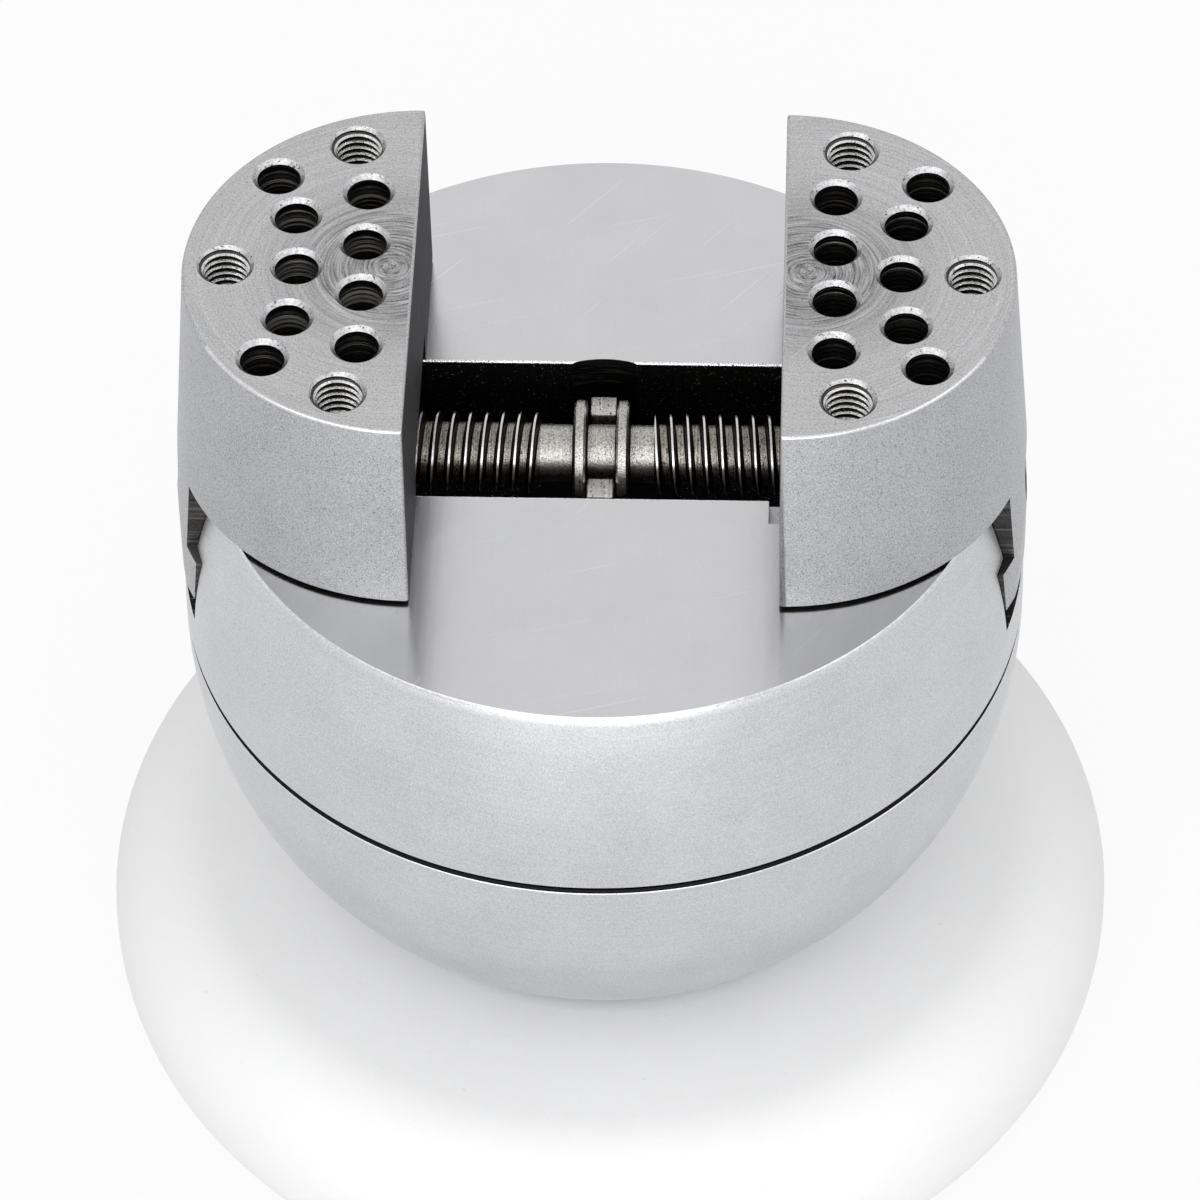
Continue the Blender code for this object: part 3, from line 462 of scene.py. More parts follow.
class Workpiece:
    """A mesh in the making, which ends as an object at the origin with its place in its mesh."""

    def __init__(self, name: str, finishes: Sequence[Steel | PaleRubber]) -> None:
        """Starts an empty mesh with its finishes, the first being the plain one."""
        self.name = name
        self.finishes = list(finishes)
        self.shape = bmesh.new()

    def wire(self, points: Iterable[Vector], closed: bool = False) -> list[bmesh.types.BMEdge]:
        """Draws a line through points.

        Args:
            points: the points, in order.
            closed: whether the last joins the first.

        Returns:
            The edges.
        """
        verts = [self.shape.verts.new(point) for point in points]
        pairs = list(zip(verts, verts[1:]))
        if closed:
            pairs.append((verts[-1], verts[0]))
        return [self.shape.edges.new(pair) for pair in pairs]

    def turn(
        self,
        profile: Sequence[Point],
        steps: int,
        axis: Axis = Axis.UP,
        closed: bool = False,
        sweep: float = math.tau,
        start: float = 0.0,
    ) -> Workpiece:
        """Turns a profile of (radius, place along the axis) points.

        Args:
            profile: the points, from one end to the other.
            steps: facets in the sweep.
            axis: the axis it is turned about.
            closed: whether the profile is a closed loop.
            sweep: the angle in all.
            start: the angle at which it starts, from +X on an upright axis.

        Returns:
            This workpiece.
        """
        if axis is Axis.UP:
            across, along = math.cos(start), math.sin(start)
            points = [Vector((radius * across, radius * along, up)) for radius, up in profile]
            spindle = Vector((0, 0, 1))
        else:
            points = [Vector((along, 0, radius)) for radius, along in profile]
            spindle = Vector((1, 0, 0))
        edges = self.wire(points, closed)
        verts = list({vert for edge in edges for vert in edge.verts})
        bmesh.ops.spin(
            self.shape,
            geom=verts + edges,
            cent=(0, 0, 0),
            axis=spindle,
            angle=sweep,
            steps=steps,
            use_merge=sweep == math.tau,
        )
        return self.tidy()

    def thread(self, crest: float, root: float, pitch: float, hand: int, start: float, end: float,
               steps: int, axis: Axis, shares: Sequence[Point]) -> Workpiece:
        """Turns a helical thread, cut square at both ends.

        Args:
            crest: the radius over the crests.
            root: the radius in the valleys.
            pitch: the distance between crests.
            hand: 1 for a right-hand thread, -1 for a left-hand one.
            start: where it starts along the axis.
            end: where it ends.
            steps: facets in a turn.
            axis: the axis it is cut about.
            shares: one pitch of its section, as shares of the pitch and of the height from root to crest.

        Returns:
            This workpiece.
        """
        turns = math.ceil((end - start) / pitch) + 3
        line = [
            (root + (crest - root) * rise, start + pitch * (number - 2 + along))
            for number in range(turns)
            for along, rise in shares
        ]
        upright = axis is Axis.UP
        if upright:
            points = [Vector((radius, 0, along)) for radius, along in line]
        else:
            points = [Vector((along, 0, radius)) for radius, along in line]
        spindle = Vector((0, 0, 1)) if upright else Vector((1, 0, 0))
        edges = self.wire(points)
        verts = list({vert for edge in edges for vert in edge.verts})
        bmesh.ops.spin(
            self.shape,
            geom=verts + edges,
            cent=(0, 0, 0),
            axis=spindle,
            dvec=spindle * (hand * pitch / steps),
            angle=math.tau,
            steps=steps,
        )
        bmesh.ops.remove_doubles(self.shape, verts=self.shape.verts, dist=MERGE_DISTANCE)
        for place, side in ((start, -1), (end, 1)):
            geometry = [*self.shape.verts, *self.shape.edges, *self.shape.faces]
            bmesh.ops.bisect_plane(
                self.shape,
                geom=geometry,
                dist=MERGE_DISTANCE,
                plane_co=spindle * place,
                plane_no=spindle * side,
                clear_outer=True,
            )
        return self.cap().tidy()

    def cap(self) -> Workpiece:
        """Fills each open rim with one face."""
        rims = [edge for edge in self.shape.edges if edge.is_boundary]
        bmesh.ops.edgeloop_fill(self.shape, edges=rims)
        return self

    def extrude(self, outline: Sequence[Point], start: float, end: float) -> Workpiece:
        """Extrudes an outline of (y, z) points along X.

        Args:
            outline: the points, in order round the outline.
            start: where it starts along X.
            end: where it ends.

        Returns:
            This workpiece.
        """
        edges = self.wire((Vector((start, across, up)) for across, up in outline), True)
        face = bmesh.ops.contextual_create(self.shape, geom=edges)["faces"]
        grown = bmesh.ops.extrude_face_region(self.shape, geom=face)["geom"]
        verts = [item for item in grown if isinstance(item, bmesh.types.BMVert)]
        bmesh.ops.translate(self.shape, vec=(end - start, 0, 0), verts=verts)
        return self.tidy()

    def block(self, low: Sequence[float], high: Sequence[float]) -> Workpiece:
        """Makes a box between two corners."""
        made = bmesh.ops.create_cube(self.shape, size=1.0)["verts"]
        low_corner, high_corner = Vector(low), Vector(high)
        bmesh.ops.scale(self.shape, vec=high_corner - low_corner, verts=made)
        bmesh.ops.translate(self.shape, vec=(low_corner + high_corner) / 2, verts=made)
        return self

    def prism(self, radius: float, low: float, high: float, sides: int) -> Workpiece:
        """Makes an upright many-sided rod between two heights."""
        made = bmesh.ops.create_cone(
            self.shape, cap_ends=True, segments=sides, radius1=radius, radius2=radius, depth=high - low
        )["verts"]
        bmesh.ops.translate(self.shape, vec=(0, 0, (low + high) / 2), verts=made)
        return self

    def round_edges(self, width: float, segments: int,
                    chosen: Callable[[bmesh.types.BMEdge], bool]) -> Workpiece:
        """Rounds edges.

        Args:
            width: the rounding's width.
            segments: facets across it.
            chosen: says which edges are rounded.

        Returns:
            This workpiece.
        """
        edges = [edge for edge in self.shape.edges if chosen(edge)]
        bmesh.ops.bevel(
            self.shape,
            geom=edges,
            offset=width,
            offset_type="OFFSET",
            segments=segments,
            profile=0.5,
            affect="EDGES",
            material=-1,
            clamp_overlap=True,
        )
        return self.tidy()

    def move(self, matrix: Matrix) -> Workpiece:
        """Moves the whole mesh by a matrix."""
        bmesh.ops.transform(self.shape, matrix=matrix, verts=self.shape.verts)
        return self

    def tidy(self) -> Workpiece:
        """Welds what coincides and turns the faces outwards."""
        bmesh.ops.remove_doubles(self.shape, verts=self.shape.verts, dist=MERGE_DISTANCE)
        bmesh.ops.recalc_face_normals(self.shape, faces=self.shape.faces)
        return self

    def paint(self, choose: Callable[[bmesh.types.BMFace], int]) -> Workpiece:
        """Gives each face one of the finishes, by number."""
        self.shape.normal_update()
        for face in self.shape.faces:
            face.material_index = choose(face)
        return self

    def done(self) -> bpy.types.Object:
        """Ends the mesh.

        Returns:
            The object, at the origin, with its finishes.
        """
        mesh = bpy.data.meshes.new(self.name)
        self.shape.to_mesh(mesh)
        self.shape.free()
        for finish in self.finishes:
            mesh.materials.append(finish.material())
        made = bpy.data.objects.new(self.name, mesh)
        bpy.context.scene.collection.objects.link(made)
        return made


def carve(target: bpy.types.Object, steps: Sequence[tuple[str, Sequence[bpy.types.Object]]]) -> None:
    """Cuts, joins or trims an object with others, which are used up.

    Args:
        target: the object.
        steps: an operation and the objects that it takes, for each step.
    """
    for operation, tools in steps:
        bench = bpy.data.collections.new("tools")
        for tool in tools:
            bench.objects.link(tool)
        modifier = target.modifiers.new(operation.lower(), "BOOLEAN")
        modifier.operation = operation
        modifier.solver = "EXACT"
        modifier.material_mode = "TRANSFER"
        if len(tools) == 1:
            modifier.object = tools[0]
        else:
            modifier.operand_type = "COLLECTION"
            modifier.collection = bench
    bpy.context.view_layer.update()
    graph = bpy.context.evaluated_depsgraph_get()
    mesh = bpy.data.meshes.new_from_object(target.evaluated_get(graph), depsgraph=graph)
    target.modifiers.clear()
    target.data = mesh
    for _, tools in steps:
        for tool in tools:
            bpy.data.objects.remove(tool)


def shade(piece: bpy.types.Object) -> None:
    """Shades a piece smooth, with sharp corners, and keeps each large flat face flat beside a rounded edge."""
    piece.data.shade_smooth()
    shape = bmesh.new()
    shape.from_mesh(piece.data)
    for edge in shape.edges:
        turn = edge.calc_face_angle(0.0)
        beside_flat = max((face.calc_area() for face in edge.link_faces), default=0.0) > FLAT_AREA
        edge.smooth = turn < (SLIGHT_ANGLE if beside_flat else SHARP_ANGLE)
    shape.to_mesh(piece.data)
    shape.free()


def hand_over(piece: bpy.types.Object, body: str, nodes: Sequence[str]) -> bpy.types.Object:
    """Shades a piece, hangs it on its body and hides the nodes that it replaces.

    Args:
        piece: the piece.
        body: the body that it rides on.
        nodes: the nodes that it replaces.

    Returns:
        The piece.
    """
    shade(piece)
    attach(piece, body)
    if nodes:
        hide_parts(*nodes)
    LOG.info("%s: %d faces on %s", piece.name, len(piece.data.polygons), body)
    return piece


@dataclass
class RingPad:
    """The soft ring that the ball rests in."""

    outer_radius: float = 0.0803
    inner_radius: float = 0.0278
    height: float = 0.0375
    lip_round: float = 0.0155
    shoulder_round: float = 0.0158
    foot_round: float = 0.0198
    bore_round: float = 0.0030
    steps: int = 160

    def build(self) -> None:
        """Turns the ring."""
        shoulder = (self.outer_radius - self.shoulder_round, self.height - self.shoulder_round)
        foot = (self.outer_radius - self.foot_round, self.foot_round)
        bore = (self.inner_radius + self.bore_round, self.bore_round)
        lip = (self.inner_radius + self.lip_round, self.height - self.lip_round)
        profile = arc(shoulder, self.shoulder_round, QUARTER, 0, 18)
        profile += arc(foot, self.foot_round, 0, -QUARTER, 18)
        profile += arc(bore, self.bore_round, -QUARTER, -math.pi, 6)
        profile += arc(lip, self.lip_round, math.pi, QUARTER, 18)
        ring = Workpiece("ring_pad", [PAD_RUBBER]).turn(profile, self.steps, closed=True).done()
        hand_over(ring, "root", ["base_ring"])


@dataclass
class Ball:
    """The ball below the seam, the plug under it and what lies between ball and turntable."""

    radius: float = 0.0650
    centre: float = 0.090218
    seam_chamfer: float = 0.0005
    seam_lip: float = 0.00012
    steps: int = 192
    plug_radius: float = 0.0170
    bush_flange: float = 0.0026
    spanner_hole_radius: float = 0.0020
    spanner_hole_place: float = 0.0090
    spanner_hole_end: float = -0.0614
    gap: float = 0.0003

    def build(self) -> None:
        """Turns the ball and the plug."""
        self._shell()
        self._plug()

    def _shell(self) -> None:
        """Turns the ball with its bearing pocket, bush bore and cellar."""
        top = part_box("ball_base")[1].z - self.centre
        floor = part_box("bearing_race_lower")[0].z - self.gap - self.centre
        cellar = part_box("thrust_washer")[1].z + self.gap - self.centre
        mouth = self.plug_radius + self.gap
        bush = (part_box("spindle_bush")[1].x - self.bush_flange) + self.gap
        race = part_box("bearing_race_lower")[1].x + self.gap
        start = math.asin((top - self.seam_chamfer) / self.radius)
        end = -math.acos(mouth / self.radius)
        lip = self.seam_lip
        profile = [(self.radius - self.seam_chamfer, top), (self.radius - lip, top - self.seam_chamfer + lip)]
        profile += arc((0, 0), self.radius, start, end, 40)
        profile += [(mouth, cellar), (bush, cellar), (bush, floor), (race, floor), (race, top)]
        ball = Workpiece("ball_shell", [BALL_SIDE, EDGE_HIGHLIGHT, DARK_STEEL, PAINTED_SHADE])
        ball.turn(profile, self.steps, closed=True)
        rim = top - self.seam_chamfer
        ball.paint(lambda face: self._ball_finish(face, rim))
        made = ball.move(Matrix.Translation((0, 0, self.centre))).done()
        hand_over(made, "ball", ["ball_base"])

    def _ball_finish(self, face: bmesh.types.BMFace, rim: float) -> int:
        """Picks a finish: the side, the seam's lip painted as a highlight and its chamfer painted near-black as
        shade, or the dark inside.
        """
        middle = face.calc_center_median()
        if middle.z > rim:
            out = math.hypot(middle.x, middle.y)
            if out < self.radius - 3 * self.seam_chamfer:
                return 2
            return 1 if out > self.radius - self.seam_lip else 3
        return 0 if middle.length > self.radius * NEAR_SURFACE_SHARE else 2

    def _plug(self) -> None:
        """Turns the plug under the ball, with its two spanner holes."""
        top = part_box("bottom_plug")[1].z - self.centre
        start = -math.acos(self.plug_radius / self.radius)
        profile = [(0.0, top), (self.plug_radius, top)]
        profile += arc((0, 0), self.radius, start, -QUARTER, 8)
        profile[-1] = (0.0, -self.radius)
        plug = Workpiece("ball_plug", [BALL_SIDE]).turn(profile, 96)
        made = plug.move(Matrix.Translation((0, 0, self.centre))).done()
        holes = []
        for side in (-1, 1):
            hole = Workpiece("spanner_hole", [HOLE_WALL_SHADE])
            hole.prism(self.spanner_hole_radius, -self.radius - 5 * OVERRUN, self.spanner_hole_end, 32)
            holes.append(hole.move(Matrix.Translation((side * self.spanner_hole_place, 0, self.centre))).done())
        carve(made, [("DIFFERENCE", holes)])
        hand_over(made, "ball", ["bottom_plug"])


@dataclass
class Turntable:
    """The round table with its T-slot."""

    radius: float = 0.0650
    rim_radius: float = 0.0597
    rim_chamfer: float = 0.0004
    seam_chamfer: float = 0.0005
    slot_half_width: float = 0.0144
    groove_half_width: float = 0.0180
    slot_lip: float = 0.0120
    groove_height: float = 0.0123
    slot_round: float = 0.00036
    pocket_radius: float = 0.0143
    pocket_setback: float = 0.0010
    pocket_depth: float = 0.0033
    notch_start: float = 0.0257
    notch_length: float = 0.0060
    notch_width: float = 0.0050
    notch_depth: float = 0.0015
    shaft_radius: float = 0.0060
    screw_hole_radius: float = 0.0023
    steps: int = 192
    gap: float = 0.0003

    def build(self) -> None:
        """Turns the table and cuts its slot, pocket, screw holes and notch."""
        low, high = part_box("upper_body")
        under, top = low.z, high.z
        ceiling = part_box("bearing_race_upper")[1].z + self.gap
        side_end = under + self.seam_chamfer
        rim = top - self.rim_chamfer
        fall, draw = rim - side_end, self.radius - self.rim_radius
        side_radius = (fall**2 + draw**2) / (2 * draw)
        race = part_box("bearing_race_upper")[1].x + self.gap
        hole = self.shaft_radius + self.gap
        profile = [(self.rim_radius - self.rim_chamfer, top)]
        profile += arc((self.radius - side_radius, side_end), side_radius, math.asin(fall / side_radius), 0, 28)
        profile += [(self.radius - self.seam_chamfer, under), (race, under), (race, ceiling), (hole, ceiling)]
        profile += [(hole, top)]
        table = Workpiece("turntable", [TABLE_SIDE, TABLE_TOP, EDGE_HIGHLIGHT, DARK_STEEL, SLOT_WALL_SHADE])
        table.turn(profile, self.steps, closed=True)
        table.paint(lambda face: self._table_finish(face, under, top))
        made = table.done()
        cutters = [self._slot_cutter(top), self._pocket_cutter(top), self._notch_cutter(top)]
        screws = [self._screw_hole(name, ceiling) for name in ("flange_screw_left", "flange_screw_right")]
        carve(made, [("DIFFERENCE", [cutter]) for cutter in cutters] + [("DIFFERENCE", screws)])
        hand_over(made, "turntable", ["upper_body"])

    def _table_finish(self, face: bmesh.types.BMFace, under: float, top: float) -> int:
        """Picks a finish: side, top, rims painted as highlights, or the dark underside."""
        middle = face.calc_center_median()
        if middle.z > top - MERGE_DISTANCE:
            return 1
        if middle.z > top - self.rim_chamfer:
            return 2
        outside = math.hypot(middle.x, middle.y) > self.rim_radius - self.rim_chamfer
        if outside and middle.z > under + self.seam_chamfer:
            return 0
        return 2 if outside and middle.z > under + MERGE_DISTANCE else 3

    def _slot_cutter(self, top: float) -> bpy.types.Object:
        """Makes the T-shaped cutter, whose mouth widens to round the slot's edges.

        Args:
            top: the height of the table's top.

        Returns:
            The cutter.
        """
        ceiling = top - self.slot_lip
        floor = ceiling - self.groove_height
        narrow, wide = self.slot_half_width, self.groove_half_width
        lip = self.slot_round
        half = [(wide, floor), (wide, ceiling), (narrow, ceiling)]
        half += arc((narrow + lip, top - lip), lip, math.pi, QUARTER, 4)
        half += [(narrow + lip, top + OVERRUN)]
        outline = half + [(-across, up) for across, up in reversed(half)]
        cutter = Workpiece("slot_cutter", [SLOT_WALL_SHADE, SLOT_EDGE_HIGHLIGHT, SLOT_FRONT_LIT])
        cutter.extrude(outline, -self.radius - OVERRUN, self.radius + OVERRUN)
        cutter.paint(self._slot_finish)
        return cutter.done()

    def _slot_finish(self, face: bmesh.types.BMFace) -> int:
        """Picks a finish: the rounded edges painted as highlights, the front wall painted pale as light, or the
        rest painted near-black as shade.
        """
        if 0.1 < abs(face.normal.z) < 0.995:
            return 1
        return 2 if face.normal.y < -0.9 else 0

    def _pocket_cutter(self, top: float) -> bpy.types.Object:
        """Makes the round cutter of the pocket that the fork's flange lies in."""
        floor = top - self.slot_lip - self.groove_height - self.pocket_depth
        wall = self.pocket_radius
        profile = [(0.0, top + OVERRUN), (wall, top + OVERRUN), (wall, floor), (0.0, floor)]
        cutter = Workpiece("pocket_cutter", [POCKET_WALL_SHADE]).turn(profile, 128)
        return cutter.move(Matrix.Translation((0, self.pocket_setback, 0))).done()

    def _notch_cutter(self, top: float) -> bpy.types.Object:
        """Makes the box that cuts the small step in the front edge."""
        low = (self.notch_start, -self.slot_half_width - self.notch_width, top - self.notch_depth)
        high = (self.notch_start + self.notch_length, -self.slot_half_width + OVERRUN, top + OVERRUN)
        return Workpiece("notch_cutter", [TABLE_SIDE]).block(low, high).done()

    def _screw_hole(self, screw: str, ceiling: float) -> bpy.types.Object:
        """Makes the cutter of a hole for one of the flange's screws."""
        low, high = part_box(screw)
        middle = (low + high) / 2
        cutter = Workpiece("screw_hole", [DARK_STEEL])
        cutter.prism(self.screw_hole_radius, ceiling - OVERRUN, high.z, 32)
        return cutter.move(Matrix.Translation((middle.x, 0, 0))).done()


@dataclass
class Spindle:
    """The spindle, whose fork holds the screw endways."""

    shaft_radius: float = 0.0060
    flange_radius: float = 0.0129
    flange_thickness: float = 0.0065
    fork_thickness: float = 0.0041
    fork_half_width: float = 0.0108
    fork_slot_radius: float = 0.0068
    fork_rise: float = 0.0015
    corner_round: float = 0.0003
    seat_radius: float = 0.0037
    seat_depth: float = 0.0045
    way_radius: float = 0.0023
    screw_place: float = 0.0088
    screw_sink: float = 0.0002
    tip_chamfer: float = 0.0010

    def build(self) -> None:
        """Turns the shaft and flange, joins the fork to them and bores the screws' seats."""
        low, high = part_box("spindle")
        screw_low, screw_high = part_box("lead_screw")
        axis_height = (screw_low.z + screw_high.z) / 2
        flange_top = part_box("flange_screw_left")[1].z + self.screw_sink
        flange_bottom = flange_top - self.flange_thickness
        profile = [
            (0.0, flange_top),
            (self.flange_radius - self.corner_round, flange_top),
            (self.flange_radius, flange_top - self.corner_round),
            (self.flange_radius, flange_bottom),
            (self.shaft_radius, flange_bottom),
            (self.shaft_radius, low.z + self.tip_chamfer),
            (self.shaft_radius - self.tip_chamfer, low.z),
            (0.0, low.z),
        ]
        body = Workpiece("spindle_fork", [FORK_FACE, PAINTED_SHADE]).turn(profile, 96)
        # The turned shaft and flange are painted near-black, a painted shade where they sit in the pocket under
        # the screw.
        body.paint(lambda face: 1)
        made = body.done()
        plate = self._fork_plate((flange_top + flange_bottom) / 2, axis_height)
        seats, ways = [], []
        for side in (-1, 1):
            place = Matrix.Translation((side * self.screw_place, 0, 0))
            seat = Workpiece("seat", [DARK_STEEL])
            seat.prism(self.seat_radius, flange_top - self.seat_depth, high.z, 48)
            seats.append(seat.move(place).done())
            way = Workpiece("way", [DARK_STEEL])
            way.prism(self.way_radius, flange_bottom - OVERRUN, flange_top, 32)
            ways.append(way.move(place).done())
        carve(made, [("UNION", [plate]), ("DIFFERENCE", seats), ("DIFFERENCE", ways)])
        hand_over(made, "turntable", ["spindle"])

    def _fork_plate(self, foot: float, axis_height: float) -> bpy.types.Object:
        """Extrudes the fork's U from its outline.

        Args:
            foot: the height at which it starts, inside the flange.
            axis_height: the height of the screw's axis.

        Returns:
            The plate.
        """
        top = axis_height + self.fork_rise
        slot = arc((0, axis_height), self.fork_slot_radius, math.pi, 2 * math.pi, 28)
        outline = [(-self.fork_half_width, foot), (-self.fork_half_width, top), (-self.fork_slot_radius, top)]
        outline += slot
        outline += [(self.fork_slot_radius, top), (self.fork_half_width, top), (self.fork_half_width, foot)]
        half = self.fork_thickness / 2
        plate = Workpiece("fork_plate", [FORK_FACE]).extrude(outline, -half, half)
        plate.round_edges(self.corner_round, 3, lambda edge: edge.calc_face_angle(0.0) > math.radians(40))
        return plate.done()


@dataclass
class LeadScrew:
    """The screw with its left-hand and right-hand threads."""

    crest_radius: float = 0.0061
    root_radius: float = 0.0046
    shoulder_radius: float = 0.0044
    collar_radius: float = 0.0081
    pitch: float = 0.0025
    reach: float = 0.0600
    collar_inner: float = 0.00235
    collar_width: float = 0.0018
    undercut: float = 0.0003
    chamfer: float = 0.0003
    left_shoulder: float = 0.0052
    right_shoulder: float = 0.0039
    square_width: float = 0.0060
    square_length: float = 0.0080
    left_phase: float = 0.19
    right_phase: float = 0.52
    steps: int = 64
    section_shares: tuple[Point, ...] = (
        (0.00, 0.0), (0.22, 0.0), (0.30, 0.12), (0.42, 0.88), (0.46, 1.0), (0.58, 1.0), (0.62, 0.88),
        (0.74, 0.12), (0.82, 0.0),
    )

    def build(self) -> None:
        """Cuts both threads and turns what lies between them."""
        low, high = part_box("lead_screw")
        lift = Matrix.Translation((0, 0, (low.z + high.z) / 2))
        outer = self.collar_inner + self.collar_width
        middle = self._middle(outer).move(lift).done()
        hand_over(middle, "screw", ["lead_screw"])
        left_start, left_end = -self.reach + self.square_length, -outer - self.left_shoulder
        spans = (
            ("left_hand_thread", -1, left_start, left_end, self.left_phase),
            ("right_hand_thread", 1, outer + self.right_shoulder, self.reach, self.right_phase),
        )
        for name, hand, start, end, phase in spans:
            piece = Workpiece(name, [SCREW_BODY, SCREW_CREST_HIGHLIGHT, SCREW_FLANK_SHADE])
            shares = [(along + phase, rise) for along, rise in self.section_shares]
            piece.thread(
                self.crest_radius, self.root_radius, self.pitch, hand, start, end, self.steps,
                Axis.ACROSS, shares,
            )
            self._chamfer_end(piece, hand * self.reach if hand > 0 else start)
            piece.paint(self._thread_finish)
            hand_over(piece.move(lift).done(), "screw", [])
        square = Workpiece("drive_square", [SCREW_BODY])
        half = self.square_width / 2
        square.block((-self.reach, -half, -half), (-self.reach + self.square_length, half, half))
        square.round_edges(self.chamfer, 2, lambda edge: True)
        hand_over(square.move(lift).done(), "screw", [])

    def _middle(self, outer: float) -> Workpiece:
        """Turns the shoulders, the collars and the groove between them.

        Args:
            outer: how far the collars' outer faces are from the middle.

        Returns:
            The turned part.
        """
        lip, crown = self.collar_radius - self.chamfer, self.collar_radius
        inner, core = self.collar_inner, self.shoulder_radius - self.undercut
        collar = [
            (self.shoulder_radius, outer + self.undercut), (core, outer + self.undercut), (core, outer),
            (lip, outer), (crown, outer - self.chamfer), (crown, inner + self.chamfer), (lip, inner),
            (core, inner), (core, inner - self.undercut), (self.shoulder_radius, inner - self.undercut),
        ]
        profile = [(0.0, outer + self.right_shoulder), (self.shoulder_radius, outer + self.right_shoulder)]
        profile += collar + [(radius, -along) for radius, along in reversed(collar)]
        profile += [(self.shoulder_radius, -outer - self.left_shoulder), (0.0, -outer - self.left_shoulder)]
        middle = Workpiece("screw_middle", [SCREW_SMOOTH, EDGE_HIGHLIGHT, PAINTED_SHADE])
        middle.turn(profile, 2 * self.steps, Axis.ACROSS)
        return middle.paint(lambda face: self._middle_finish(face, lip))

    def _middle_finish(self, face: bmesh.types.BMFace, lip: float) -> int:
        """Picks a finish: the smooth steel, a collar's chamfer painted as a highlight, or the undercuts and the
        collars' flat sides painted near-black as shade.
        """
        radius = math.hypot(*face.calc_center_median().yz)
        if radius > lip:
            return int(abs(face.normal.x) > 0.2)
        on_shoulder = radius > self.shoulder_radius - self.undercut / 2 and abs(face.normal.x) < 0.2
        return 0 if on_shoulder else 2

    def _chamfer_end(self, piece: Workpiece, tip: float) -> None:
        """Draws the thread's outer end in to a cone.

        Args:
            piece: the thread.
            tip: where that end is.
        """
        for vert in piece.shape.verts:
            limit = self.root_radius + abs(tip - vert.co.x)
            radius = math.hypot(vert.co.y, vert.co.z)
            if radius > limit:
                vert.co.y *= limit / radius
                vert.co.z *= limit / radius

    def _thread_finish(self, face: bmesh.types.BMFace) -> int:
        """Picks a painted highlight on a crest, near-black painted shade on a flank and the streaked finish in
        a valley.
        """
        middle = face.calc_center_median()
        radius = math.hypot(middle.y, middle.z)
        if radius > self.crest_radius * NEAR_SURFACE_SHARE and abs(face.normal.x) < 0.3:
            return 1
        return 2 if radius > self.root_radius * 1.01 else 0


